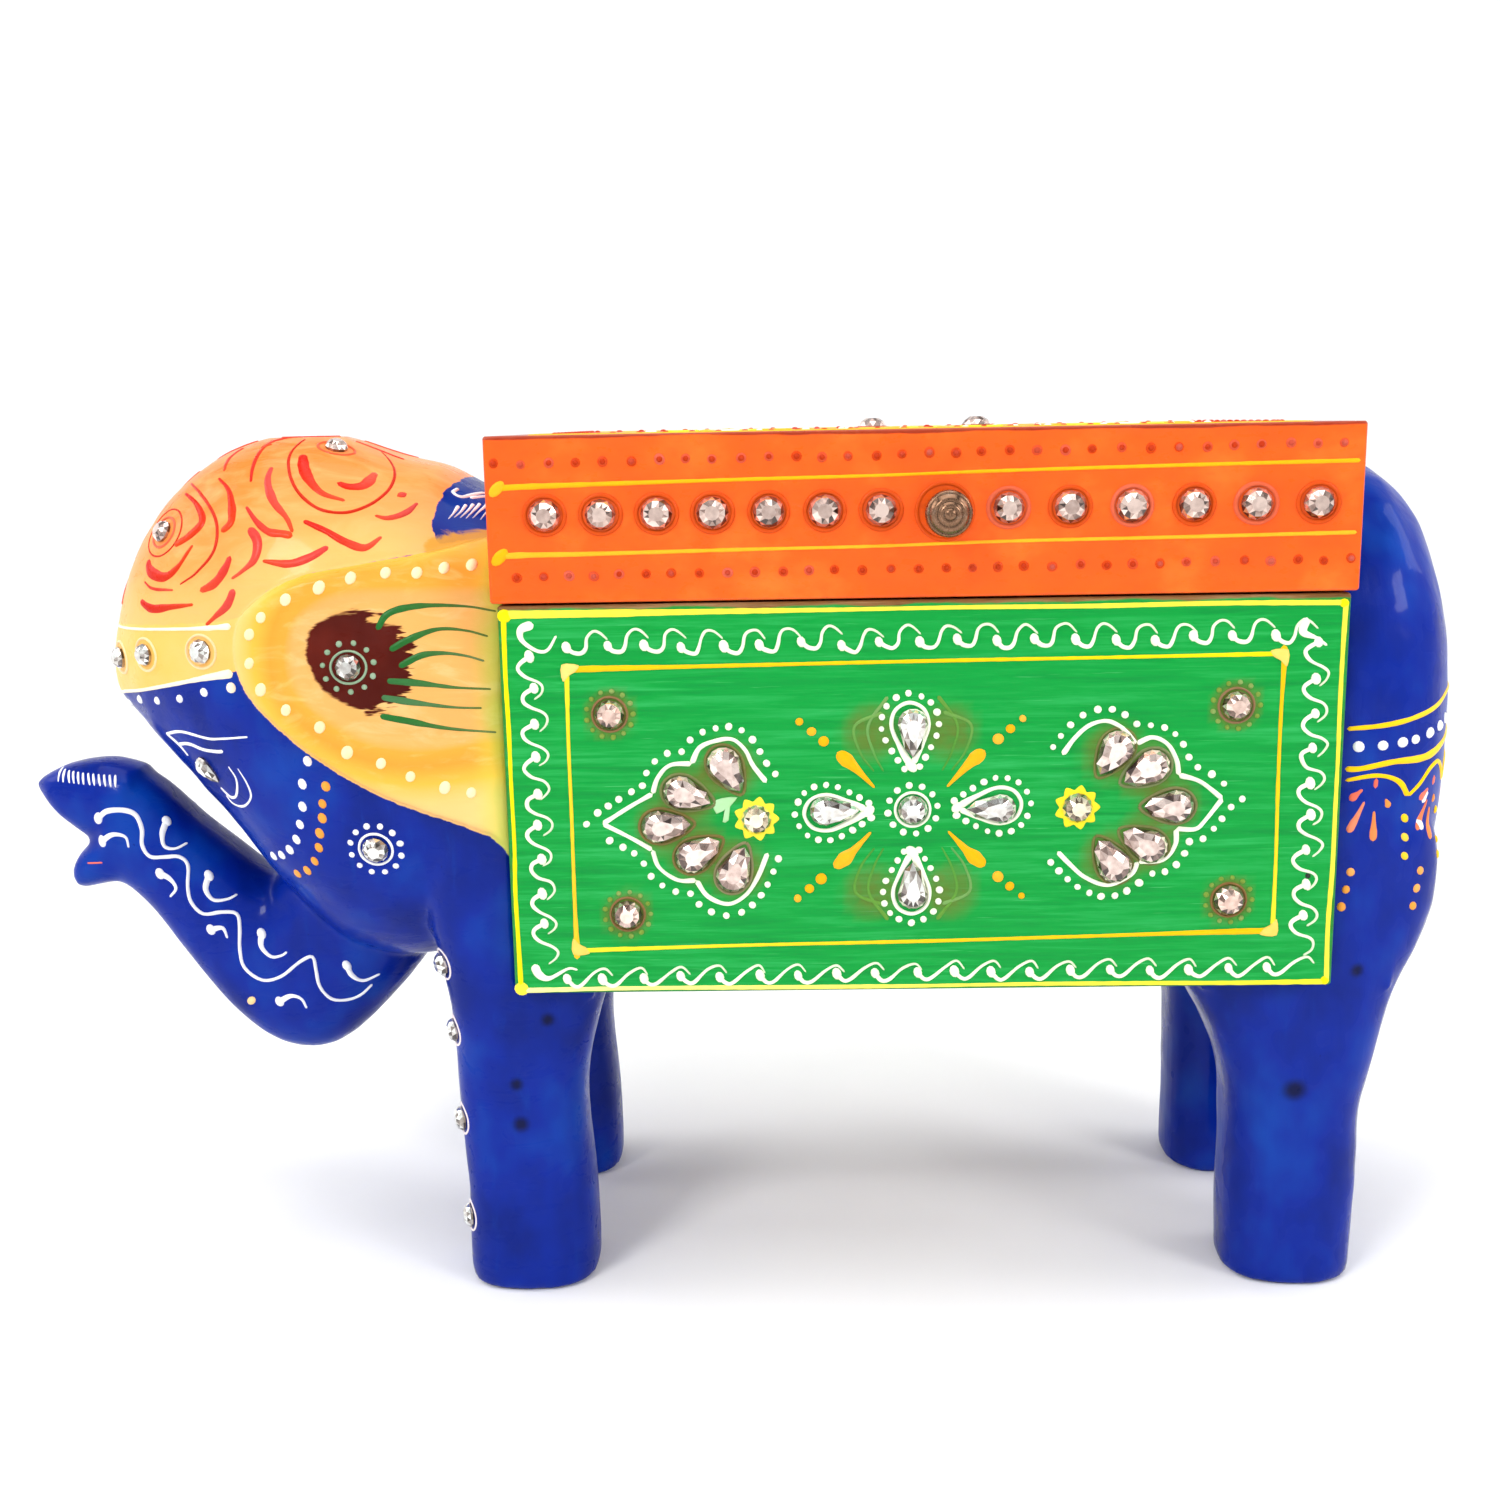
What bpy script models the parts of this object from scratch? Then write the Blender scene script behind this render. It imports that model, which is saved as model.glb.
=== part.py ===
"""Hand-painted wooden elephant box: a carved head and a carved rump joined by a box
with a hinged lid.  Metres, +Z up, the head towards -X, the decorated side with the knob
towards -Y.  The feet stand on Z = 0 and the hinges run along the +Y side."""
import math
import bpy
import bmesh
from mathutils import Vector

MM = 0.001

# ---- overall sizes (mm) ------------------------------------------------------------
BOX_LENGTH = 132.0          # length of the painted side panels
BODY_WIDTH = 74.0           # over the two side panels
BOX_BOTTOM = 56.0           # underside of the side panels above the ground
BOX_HEIGHT = 63.5           # underside of the panels to the parting line
LID_HEIGHT = 25.8           # parting line to the upper face of the lid
GAP = 0.3                   # between pieces that touch
# ---- boards ------------------------------------------------------------------------
PANEL = 5.0                 # side panels
END_WALL = 5.0
FLOOR = 4.0
SHELF = 7.0                 # carved shelf between the panels that carries the floor
LID_BOARD = 5.0             # lid top board
LID_RAIL = 5.0              # lid front, back and end rails
LID_OVERHANG = 1.0          # lid past the panels at each end
LID_CLEARANCE = 0.8         # lid end to the carved blocks
EASED = 0.5                 # eased board edges
# ---- legs --------------------------------------------------------------------------
LEG_SETBACK = 5.2           # outer side of a sole behind the face of the panel above it
LEG_DEPTH = 20.6            # leg across the body at the sole
LEG_RADIUS = 11.2           # half the leg length along the body at the sole
FORE_LEG_AHEAD = 0.8        # foreleg centre in front of the head end of the box
HIND_LEG_IN = 1.4           # hind leg centre in from the rump end of the box
# ---- head, trunk and ears ----------------------------------------------------------
CARVING_SETBACK = 3.6       # cheeks and haunches behind the face of the panels
EAR_RELIEF = 2.0            # ears stand out from the cheeks
TRUNK_HALF_WIDTH = 11.5     # at the bottom of the curl
TRUNK_REACH = 91.4          # trunk tip in front of the box
RUMP_REACH = 25.0           # back of the rump behind the box
TAIL_RELIEF = 5.6           # carved tail past the back of the rump
# ---- hardware ----------------------------------------------------------------------
KNOB_X = 3.4
KNOB_RISE = 13.3            # above the parting line
KNOB_DIAMETER = 7.2
KNOB_REACH = 9.0
STUD_DIAMETER = 2.4
HINGE_AT = 42.0             # hinge centres from the middle of the box
HINGE_WIDTH = 16.0
LEAF_HEIGHT = 9.5
LEAF = 0.9                  # leaf thickness
PIN_DIAMETER = 1.4
PIN_PLAY = 0.3              # radial, in the knuckles
KNUCKLE_WALL = 0.8
KNUCKLE_GAP = 0.4           # between knuckles along the pin
SCREW_DIAMETER = 2.0
# ---- stones ------------------------------------------------------------------------
STONE = 5.0                 # round stones, across
STONE_HEIGHT = 1.7
DROP_LENGTH = 7.8
DROP_WIDTH = 4.8
ROW_RISE = 13.7             # row of lid stones above the parting line
ROW_LEFT_PITCH = 8.6
ROW_RIGHT_PITCH = 9.4
ROW_FROM_KNOB = 9.7
ROW_LEFT, ROW_RIGHT = 7, 6
# Corner stones: from the end of the panel, and below the seam.
CORNER_STONES = {"top_head": (17.0, 17.5), "top_rump": (17.0, 17.5),
                 "bottom_head": (18.8, 50.2), "bottom_rump": (17.0, 49.0)}
PATTERN_X = -1.4
PATTERN_DROP = 33.5                  # pattern centre below the seam
DROP_AT = 12.4                       # drop stones from the pattern centre
FAN_AT = 26.0                        # fan flower from the pattern centre
FAN_SHIFT = {"head": (1.2, -1.2), "rump": (0.0, 0.0)}   # each fan was set by eye
FAN = {"head": ((64.0, 8.8), (18.5, 11.4), (-3.5, 14.4), (-28.0, 10.4), (-70.0, 8.6)),
       "rump": ((60.0, 9.8), (27.0, 11.8), (0.0, 14.4), (-27.0, 11.8), (-60.0, 9.8))}

HALF = BOX_LENGTH / 2
SIDE = BODY_WIDTH / 2
SEAM_HEIGHT = BOX_BOTTOM + BOX_HEIGHT
LID_TOP = SEAM_HEIGHT + LID_HEIGHT
KNOB_Z = SEAM_HEIGHT + KNOB_RISE
ROW_Z = SEAM_HEIGHT + ROW_RISE
LEG_Y = SIDE - LEG_SETBACK - LEG_DEPTH / 2
FORE_LEG_X = -HALF - FORE_LEG_AHEAD
HIND_LEG_X = HALF - HIND_LEG_IN
CARVING_HALF_WIDTH = SIDE - CARVING_SETBACK
TRUNK_TIP_X = -HALF - TRUNK_REACH
TAIL_X = HALF + RUMP_REACH + TAIL_RELIEF
INNER = SIDE - PANEL
SHELF_TOP = BOX_BOTTOM + SHELF
FLOOR_Z = SHELF_TOP + GAP
LID_Z = SEAM_HEIGHT + GAP / 2
WALL_TOP = SEAM_HEIGHT - GAP / 2
LID_HALF = HALF + LID_OVERHANG
LID_FRONT = SIDE + 0.4
KNUCKLE = PIN_DIAMETER / 2 + PIN_PLAY + KNUCKLE_WALL
AXIS_Y = SIDE + GAP + KNUCKLE
CENTRE = Vector(((TAIL_X + TRUNK_TIP_X) / 2,
                 (AXIS_Y + KNUCKLE - LID_FRONT - KNOB_REACH) / 2, 0.0))

for old in list(bpy.data.objects):
    bpy.data.objects.remove(old, do_unlink=True)

root = bpy.data.objects.new("elephant_frame", None)
root.location = -CENTRE * MM
lid_axis = bpy.data.objects.new("lid_axis", None)
lid_axis.location = Vector((0.0, AXIS_Y, SEAM_HEIGHT)) * MM
lid_axis.parent = root
for empty in (root, lid_axis):
    empty.empty_display_size = 0.01
    bpy.context.scene.collection.objects.link(empty)

COLOURS = {
    "blue_wood": ((0.010, 0.028, 0.36), 0.32, 0.0),
    "green_wood": ((0.0, 0.42, 0.07), 0.38, 0.0),
    "orange_wood": ((0.95, 0.13, 0.015), 0.36, 0.0),
    "bare_wood": ((0.36, 0.19, 0.08), 0.65, 0.0),
    "brass": ((0.72, 0.50, 0.22), 0.28, 1.0),
    "nickel": ((0.60, 0.52, 0.40), 0.22, 1.0),
    "stone_glass": ((0.86, 0.84, 0.80), 0.06, 0.4),
}
paints = {}
for label, (colour, rough, metal) in COLOURS.items():
    paint = bpy.data.materials.new(label)
    paint.use_nodes = True
    shader = paint.node_tree.nodes["Principled BSDF"]
    shader.inputs["Base Color"].default_value = (*colour, 1.0)
    shader.inputs["Roughness"].default_value = rough
    shader.inputs["Metallic"].default_value = metal
    paint.diffuse_color = (*colour, 1.0)
    paints[label] = paint


def add_object(name, bm, paint, parent=root, smooth=False, helper=False):
    """Links the bmesh, whose points are in mm of the box frame, as one object."""
    bmesh.ops.recalc_face_normals(bm, faces=bm.faces)
    offset = lid_axis.location / MM if parent is lid_axis else Vector()
    bmesh.ops.translate(bm, verts=bm.verts, vec=-offset)
    bmesh.ops.scale(bm, vec=Vector((MM, MM, MM)), verts=bm.verts)
    for face in bm.faces:
        face.smooth = smooth
    mesh = bpy.data.meshes.new(name)
    bm.to_mesh(mesh)
    bm.free()
    obj = bpy.data.objects.new(name, mesh)
    obj.parent = parent
    bpy.context.scene.collection.objects.link(obj)
    mesh.materials.append(paints[paint])
    if helper:
        obj.hide_render = True
        obj.display_type = "WIRE"
    return obj


def combine(obj, other, operation):
    step = obj.modifiers.new(operation.title() + "_" + other.name, "BOOLEAN")
    step.operation = operation
    step.solver = "EXACT"
    step.object = other


def block(x0, x1, y0, y1, z0, z1):
    bm = bmesh.new()
    bmesh.ops.create_cube(bm, size=1.0)
    bmesh.ops.scale(bm, vec=(x1 - x0, y1 - y0, z1 - z0), verts=bm.verts)
    centre = ((x0 + x1) / 2, (y0 + y1) / 2, (z0 + z1) / 2)
    bmesh.ops.translate(bm, vec=centre, verts=bm.verts)
    return bm


def board(name, limits, paint, parent=root):
    """A sawn board with eased edges."""
    obj = add_object(name, block(*limits), paint, parent)
    eased = obj.modifiers.new("Eased", "BEVEL")
    eased.width = EASED * MM
    eased.segments = 1
    return obj


def loft(stations, around=16, square=2.5):
    """A closed skin through superellipse sections: (centre, up, side half-widths)."""
    bm = bmesh.new()
    rings = []
    for centre, up, side in stations:
        ring = []
        for k in range(around):
            turn = 2 * math.pi * k / around
            c, s = math.cos(turn), math.sin(turn)
            u = math.copysign(abs(c) ** (2 / square), c)
            v = math.copysign(abs(s) ** (2 / square), s)
            ring.append(bm.verts.new(Vector(centre) + Vector(side) * u + Vector(up) * v))
        rings.append(ring)
    for a, b in zip(rings, rings[1:]):
        for k in range(around):
            j = (k + 1) % around
            bm.faces.new((a[k], a[j], b[j], b[k]))
    bm.faces.new(rings[0])
    bm.faces.new(rings[-1])
    bmesh.ops.triangulate(bm, faces=bm.faces)
    return bm


def upright(table, widths, grow=0.0):
    """Sections across the body at each x: (x, low z, high z) with a half-width."""
    return [((x, 0, (lo + hi) / 2), (0, 0, (hi - lo) / 2), (0, w + grow, 0))
            for (x, lo, hi), w in zip(table, widths)]


def between(pairs, y=0.0):
    """Sections between an upper and a lower point of a side outline, with a half-width."""
    out = []
    for upper, lower, w in pairs:
        (ux, uz), (lx, lz) = ahead(*upper), ahead(*lower)
        out.append((((ux + lx) / 2, y, (uz + lz) / 2),
                    ((ux - lx) / 2, 0, (uz - lz) / 2), (0, w, 0)))
    return out


def prism(outline, y0, y1):
    """A side outline in x and z, taken across from y0 to y1."""
    bm = bmesh.new()
    near = [bm.verts.new((x, y0, z)) for x, z in outline]
    far = [bm.verts.new((x, y1, z)) for x, z in outline]
    bm.faces.new(near)
    bm.faces.new(far)
    for k in range(len(outline)):
        j = (k + 1) % len(outline)
        bm.faces.new((near[k], near[j], far[j], far[k]))
    return bm


def leg(name, centre_x, side, flare):
    """One leg: a slim post that widens into the body.  flare lists (height, shift, growth),
    the height as a share of BOX_BOTTOM up to 1 and in mm above it from there on."""
    stations = []
    for height, shift, grow in flare:
        z = height * BOX_BOTTOM if height <= 1 else BOX_BOTTOM + height
        centre = (centre_x + shift, side * LEG_Y, z)
        half_y = LEG_DEPTH / 2 + min(grow, 1.5)
        stations.append((centre, (LEG_RADIUS + grow, 0, 0), (0, half_y, 0)))
    return add_object(name, loft(stations, 14, 2.7), "blue_wood", helper=True)


FORE_FLARE = ((0, 0, -1.2), (0.03, 0, 0), (0.28, 0, -0.1), (0.55, -0.9, -0.2), (0.71, -0.6, 0.3),
              (0.87, 0.4, 1.6), (1.0, 0.7, 3.0), (14, -1.4, 3.2), (32, -0.6, 1.6), (38, 0, -2.0))
HIND_FLARE = ((0, 0, -1.2), (0.03, 0, -0.2), (0.32, 0, 0), (0.52, 0, 0.1), (0.65, 0.2, 1.0),
              (0.78, -0.2, 3.0), (0.9, -1.2, 5.6), (1.0, -1.6, 8.3), (10, 0.4, 10.2),
              (22, 1.0, 9.4), (30, 1.0, 4.0))


def clear_the_box(body, tag):
    """Cuts the room of box and lid out of a carved block, leaving the shelf."""
    reach = SIDE + 20
    low, high, lip = BOX_BOTTOM - GAP, SHELF_TOP, INNER - GAP
    stepped = ((-reach, low), (-lip, low), (-lip, high), (lip, high), (lip, low), (reach, low),
               (reach, SEAM_HEIGHT + 4), (-reach, SEAM_HEIGHT + 4))
    room = bmesh.new()
    ends = [[room.verts.new((x, y, z)) for y, z in stepped] for x in (-HALF - GAP, HALF + GAP)]
    for end in ends:
        room.faces.new(end)
    for k in range(len(stepped)):
        j = (k + 1) % len(stepped)
        room.faces.new((ends[0][k], ends[0][j], ends[1][j], ends[1][k]))
    combine(body, add_object(f"box_room_{tag}", room, "bare_wood", helper=True), "DIFFERENCE")
    over = LID_HALF + LID_CLEARANCE
    lid_room = block(-over, over, -reach - 1, reach + 1, SEAM_HEIGHT - GAP, LID_TOP + 30)
    combine(body, add_object(f"lid_room_{tag}", lid_room, "bare_wood", helper=True), "DIFFERENCE")


# ---- carved head, trunk and forelegs -----------------------------------------------
# Distances in front of the box and heights above its underside, so that the head
# follows the box.  Each head section is (distance, lowest, highest).
HEAD = ((73.2, 46.4, 53), (72.2, 44, 57.5), (68, 39.8, 69.6), (63.4, 34.8, 76.6), (57.2, 28,
    83), (50, 19.4, 87.6), (41.4, 8, 90), (32, -0.6, 89.6), (22, -2.5, 86.2), (14, -1.5, 84.2),
    (7, 0, 80.4), (-2, 1, 77))
SPAN = (0.12, 0.26, 0.43, 0.58, 0.71, 0.82, 0.91, 0.97, 1.0, 1.0, 1.0, 1.0)
EAR = ((-0.8, 25), (3.5, 25.6), (18, 31), (29, 37), (38, 44), (42.8, 49.5), (44.4, 55.5), (43,
    61.5), (38, 65.6), (31.3, 68.2), (15.4, 70.6), (3.5, 73.2), (-0.8, 74))


def ahead(distance, height):
    return (-HALF - distance, BOX_BOTTOM + height)


def head_sections(grow=0.0):
    sections = [(-HALF - d, BOX_BOTTOM + lo, BOX_BOTTOM + hi) for d, lo, hi in HEAD]
    return upright(sections, [CARVING_HALF_WIDTH * s for s in SPAN], grow)


head = add_object("carved_head", loft(head_sections(), 18, 2.45), "blue_wood")
for side, tag in ((-1, "near"), (1, "far")):
    skin = add_object(f"ear_skin_{tag}", loft(head_sections(EAR_RELIEF), 18, 2.45),
                      "blue_wood", helper=True)
    y0, y1 = sorted((side * 12.0, side * (SIDE + 10)))
    ear = add_object(f"ear_outline_{tag}", prism([ahead(*p) for p in EAR], y0, y1),
                     "blue_wood", helper=True)
    combine(ear, skin, "INTERSECT")
    combine(head, ear, "UNION")

W = TRUNK_HALF_WIDTH
TRUNK = (((40, 28), (18, 16), W + 2.5), ((46.5, 14), (20, -0.5), W + 2.0), ((48.2, 11.5), (29,
    -12.5), W + 1.5), ((48.6, 11), (39, -20.8), W + 1), ((49.8, 11.4), (48.6, -20.8), W), ((52.6,
    13), (57.2, -14.2), W - 0.6), ((57, 16.8), (65.2, -3.6), W - 1.4), ((63, 22), (71,
    4.8), W - 2.4), ((69, 28.2), (76.4, 9.8), W - 3.2), ((75, 32.4), (80.6, 10), W - 3.8))
UPPER_LIP = (((72, 31.4), (77.6, 16.5), W - 3.8), ((78.2, 33), (81.6, 18.2), W - 4.4), ((84.6,
    32.3), (84.8, 20.6), W - 5.2), ((88.6, 30.8), (87.6, 23.2), W - 6.4), ((TRUNK_REACH, 29.2),
    (TRUNK_REACH - 0.4, 27.4), W - 9.2))
LOWER_LIP = (((75, 22), (75.8, 10.6), W - 4.0), ((80, 19.4), (80.8, 9.8), W - 4.4), ((83.6,
    16.6), (84.4, 9.2), W - 5.4), ((85.2, 14.2), (85.4, 10.8), W - 7.0))
trunk = add_object("trunk", loft(between(TRUNK), 14, 2.6), "blue_wood", helper=True)
for lip_name, lip in (("upper_lip", UPPER_LIP), ("lower_lip", LOWER_LIP)):
    piece = add_object(lip_name, loft(between(lip), 12, 2.6), "blue_wood", helper=True)
    combine(trunk, piece, "UNION")
combine(head, trunk, "UNION")
for side, tag in ((-1, "near"), (1, "far")):
    combine(head, leg(f"fore_leg_{tag}", FORE_LEG_X, side, FORE_FLARE), "UNION")
shelf_half = INNER - GAP - 0.6
fore_shelf = add_object("fore_shelf", block(-HALF - 8, FORE_LEG_X + LEG_RADIUS + 1.8, -shelf_half, shelf_half,
                                            BOX_BOTTOM - 3, SHELF_TOP + 3), "blue_wood", helper=True)
combine(head, fore_shelf, "UNION")
clear_the_box(head, "fore")

# ---- carved rump and hind legs -----------------------------------------------------
R = RUMP_REACH
# Distances behind the box and heights above its underside: (distance, lowest, highest).
RUMP = ((-4, -1, 83.5), (R - 16, -2, 82.8), (R - 11.4, -1, 80.4), (R - 8.2, 1.5, 77.2),
        (R - 5.6, 5.5, 72.2), (R - 3.4, 11, 66), (R - 1.8, 19, 59), (R - 0.6, 28, 53), (R, 33, 48))
RUMP_SPAN = (1.0, 0.99, 0.95, 0.89, 0.8, 0.68, 0.54, 0.36, 0.17)
rump_sections = [(HALF + d, BOX_BOTTOM + lo, BOX_BOTTOM + hi) for d, lo, hi in RUMP]
rump = add_object("carved_rump",
                  loft(upright(rump_sections, [CARVING_HALF_WIDTH * s for s in RUMP_SPAN]),
                       18, 2.45), "blue_wood")
for side, tag in ((-1, "near"), (1, "far")):
    combine(rump, leg(f"hind_leg_{tag}", HIND_LEG_X, side, HIND_FLARE), "UNION")
# Distance behind the box, height, half width, and share of the full relief.
TAIL = ((R - 3.0, 61, 1.8, 0.25), (R - 1.6, 55, 2.3, 0.55), (R - 0.6, 47, 2.5, 0.85), (R - 0.1, 38, 2.5, 1.0),
        (R - 0.3, 28, 2.4, 0.97), (R - 1.4, 19, 2.4, 0.92), (R - 3.0, 12, 3.3, 0.85), (R - 5.2, 5, 3.6, 0.8),
        (R - 7.0, 0, 1.2, 0.5))
tail = [((HALF + d, 0, BOX_BOTTOM + z), ((0.1 + TAIL_RELIEF) * share, 0, 0.2), (0, w, 0))
        for d, z, w, share in TAIL]
combine(rump, add_object("tail", loft(tail, 10, 2.2), "blue_wood", helper=True), "UNION")
hind_shelf = add_object("hind_shelf", block(HIND_LEG_X - LEG_RADIUS - 6.8, HALF + 12, -shelf_half, shelf_half,
                                            BOX_BOTTOM - 3, SHELF_TOP + 3), "blue_wood", helper=True)
combine(rump, hind_shelf, "UNION")
clear_the_box(rump, "hind")

# ---- the box -----------------------------------------------------------------------
board("side_panel_front", (-HALF, HALF, -SIDE, -INNER, BOX_BOTTOM, WALL_TOP), "green_wood")
board("side_panel_back", (-HALF, HALF, INNER, SIDE, BOX_BOTTOM, WALL_TOP), "green_wood")
inside = INNER - GAP
for name, sign in (("end_wall_head", -1), ("end_wall_rump", 1)):
    x0, x1 = sorted((sign * (HALF - GAP), sign * (HALF - END_WALL)))
    board(name, (x0, x1, -inside, inside, FLOOR_Z, WALL_TOP), "bare_wood")
floor_half = HALF - END_WALL - GAP
board("floor_board", (-floor_half, floor_half, -inside, inside, FLOOR_Z, FLOOR_Z + FLOOR),
      "bare_wood")

# ---- the lid -----------------------------------------------------------------------
LID_BACK_INNER = SIDE - LID_RAIL - GAP
LID_FRONT_INNER = -LID_FRONT + LID_RAIL + GAP
lid_front = board("lid_front", (-LID_HALF, LID_HALF, -LID_FRONT, -LID_FRONT + LID_RAIL,
                                LID_Z, LID_TOP), "orange_wood", lid_axis)
board("lid_back", (-LID_HALF, LID_HALF, SIDE - LID_RAIL, SIDE, LID_Z, LID_TOP),
      "orange_wood", lid_axis)
for name, sign in (("lid_end_head", -1), ("lid_end_rump", 1)):
    x0, x1 = sorted((sign * LID_HALF, sign * (LID_HALF - LID_RAIL)))
    board(name, (x0, x1, LID_FRONT_INNER, LID_BACK_INNER, LID_Z, LID_TOP),
          "orange_wood", lid_axis)
top_half = LID_HALF - LID_RAIL - GAP
board("lid_top", (-top_half, top_half, LID_FRONT_INNER, LID_BACK_INNER,
                  LID_TOP - LID_BOARD, LID_TOP), "orange_wood", lid_axis)


def turned(profile, origin, axis, around):
    """A turned piece: (radius, height) pairs spun about axis through origin."""
    bm = bmesh.new()
    axis = Vector(axis).normalized()
    side = axis.orthogonal().normalized()
    other = axis.cross(side)
    rings = []
    for radius, height in profile:
        ring = []
        for k in range(around):
            a = 2 * math.pi * k / around
            ring.append(bm.verts.new(Vector(origin) + axis * height
                                     + (side * math.cos(a) + other * math.sin(a)) * radius))
        rings.append(ring)
    for a, b in zip(rings, rings[1:]):
        for k in range(around):
            j = (k + 1) % around
            bm.faces.new((a[k], a[j], b[j], b[k]))
    bm.faces.new(rings[0])
    bm.faces.new(rings[-1])
    return bm


KR = KNOB_DIAMETER / 2
KNOB = ((KR * 0.8, GAP), (KR * 0.8, 1.2), (KR * 0.52, 2.0), (KR * 0.46, 3.6), (KR * 0.8, 4.9),
        (KR, 6.0), (KR, 6.9), (KR * 0.86, 7.9), (KR * 0.5, KNOB_REACH - 0.35),
        (KR * 0.3, KNOB_REACH))
KNOB_FACE = (KNOB_X, -LID_FRONT, KNOB_Z)
knob = add_object("knob", turned(KNOB, KNOB_FACE, (0, -1, 0), 20), "nickel", lid_axis, True)
stud_r = STUD_DIAMETER / 2
STUD_BORE = stud_r + 0.15
STUD_LENGTH = LID_RAIL + 4.5
socket = turned(((STUD_BORE, -2.0), (STUD_BORE, 4.8)), KNOB_FACE, (0, -1, 0), 12)
combine(knob, add_object("knob_socket", socket, "nickel", lid_axis, helper=True), "DIFFERENCE")
STUD = ((stud_r * 2.0, -LID_RAIL - 2.2), (stud_r * 2.0, -LID_RAIL - 1.2),
        (stud_r * 1.7, -LID_RAIL - GAP), (stud_r, -LID_RAIL - GAP), (stud_r, 4.4))
add_object("knob_stud", turned(STUD, KNOB_FACE, (0, -1, 0), 12), "brass", lid_axis, True)
hole = turned(((STUD_BORE, -LID_RAIL - 3), (STUD_BORE, 3)), KNOB_FACE, (0, -1, 0), 12)
combine(lid_front, add_object("stud_hole", hole, "orange_wood", lid_axis, helper=True),
        "DIFFERENCE")

# ---- hinges ------------------------------------------------------------------------
BORE = PIN_DIAMETER / 2 + PIN_PLAY
LEAF_Y0 = SIDE + GAP
THIRD = HINGE_WIDTH / 3


def leaf(name, centre_x, up, spans, parent):
    """One leaf with its knuckles: spans lists the knuckles' ends along the pin."""
    z0, z1 = sorted((SEAM_HEIGHT + up * (KNUCKLE + 0.35), SEAM_HEIGHT + up * LEAF_HEIGHT))
    plate = add_object(name, block(centre_x - HINGE_WIDTH / 2, centre_x + HINGE_WIDTH / 2,
                                   LEAF_Y0, LEAF_Y0 + LEAF, z0, z1), "brass", parent)
    for k, (x0, x1) in enumerate(spans):
        tab = block(x0, x1, LEAF_Y0, LEAF_Y0 + LEAF,
                    *sorted((SEAM_HEIGHT + up * 0.4, SEAM_HEIGHT + up * (KNUCKLE + 1.0))))
        combine(plate, add_object(f"{name}_tab_{k}", tab, "brass", parent, helper=True), "UNION")
        tube = turned(((KNUCKLE, x0), (KNUCKLE, x1)), (0, AXIS_Y, SEAM_HEIGHT), (1, 0, 0), 16)
        combine(plate, add_object(f"{name}_tube_{k}", tube, "brass", parent, helper=True), "UNION")
    bore = turned(((BORE, centre_x - HINGE_WIDTH), (BORE, centre_x + HINGE_WIDTH)),
                  (0, AXIS_Y, SEAM_HEIGHT), (1, 0, 0), 16)
    combine(plate, add_object(name + "_bore", bore, "brass", parent, helper=True), "DIFFERENCE")
    for k, sign in enumerate((-1, 1)):
        x = centre_x + sign * HINGE_WIDTH * 0.3
        z = SEAM_HEIGHT + up * (LEAF_HEIGHT - 3.0)
        hole_r = SCREW_DIAMETER / 2 + 0.15
        drill = turned(((hole_r, -2), (hole_r, 3)), (x, LEAF_Y0, z), (0, 1, 0), 10)
        combine(plate, add_object(f"{name}_hole_{k}", drill, "brass", parent, helper=True),
                "DIFFERENCE")


for tag, x in (("head", -HINGE_AT), ("rump", HINGE_AT)):
    a, b = x - HINGE_WIDTH / 2, x + HINGE_WIDTH / 2
    leaf(f"hinge_{tag}_box_leaf", x, -1,
         ((a, a + THIRD - KNUCKLE_GAP), (b - THIRD + KNUCKLE_GAP, b)), root)
    leaf(f"hinge_{tag}_lid_leaf", x, 1, ((a + THIRD, b - THIRD),), lid_axis)
    r = PIN_DIAMETER / 2
    pin = turned(((r, -HINGE_WIDTH / 2 - 0.2), (r, HINGE_WIDTH / 2 + 0.2)),
                 (x, AXIS_Y, SEAM_HEIGHT), (1, 0, 0), 12)
    add_object(f"hinge_{tag}_pin", pin, "brass", root, True)


# ---- stones ------------------------------------------------------------------------
def stone(name, at, out, up, drop=False, parent=root, turn=0.0):
    """A cut glass stone on a face; out is its outward normal, turn in degrees from up."""
    out, up = Vector(out), Vector(up)
    across = up.cross(out)
    c, s = math.cos(math.radians(turn)), math.sin(math.radians(turn))
    long_way = up * c + across * s
    short_way = across * c - up * s
    if drop:
        tail = DROP_LENGTH - DROP_WIDTH
        shape = [(math.cos(t) * DROP_WIDTH / 2, math.sin(t) * DROP_WIDTH / 2 - tail / 2)
                 for t in [math.radians(150 + 24 * k) for k in range(11)]]
        shape += [(0.26 * DROP_WIDTH, tail / 2 + 0.2), (0, DROP_LENGTH / 2),
                  (-0.26 * DROP_WIDTH, tail / 2 + 0.2)]
        shape = [(x, -y) for x, y in shape]
    else:
        shape = [(math.cos(2 * math.pi * k / 12) * STONE / 2,
                  math.sin(2 * math.pi * k / 12) * STONE / 2) for k in range(12)]
    bm = bmesh.new()
    rings = []
    for scale, height in ((0.96, GAP), (1.0, GAP + 0.4), (0.52, STONE_HEIGHT)):
        rings.append([bm.verts.new(Vector(at) + (short_way * x + long_way * -y) * scale
                                   + out * height) for x, y in shape])
    n = len(shape)
    for a, b in zip(rings, rings[1:]):
        for k in range(n):
            j = (k + 1) % n
            bm.faces.new((a[k], a[j], b[j], b[k]))
    bm.faces.new(rings[0])
    bm.faces.new(rings[-1])
    return add_object(name, bm, "stone_glass", parent)


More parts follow.
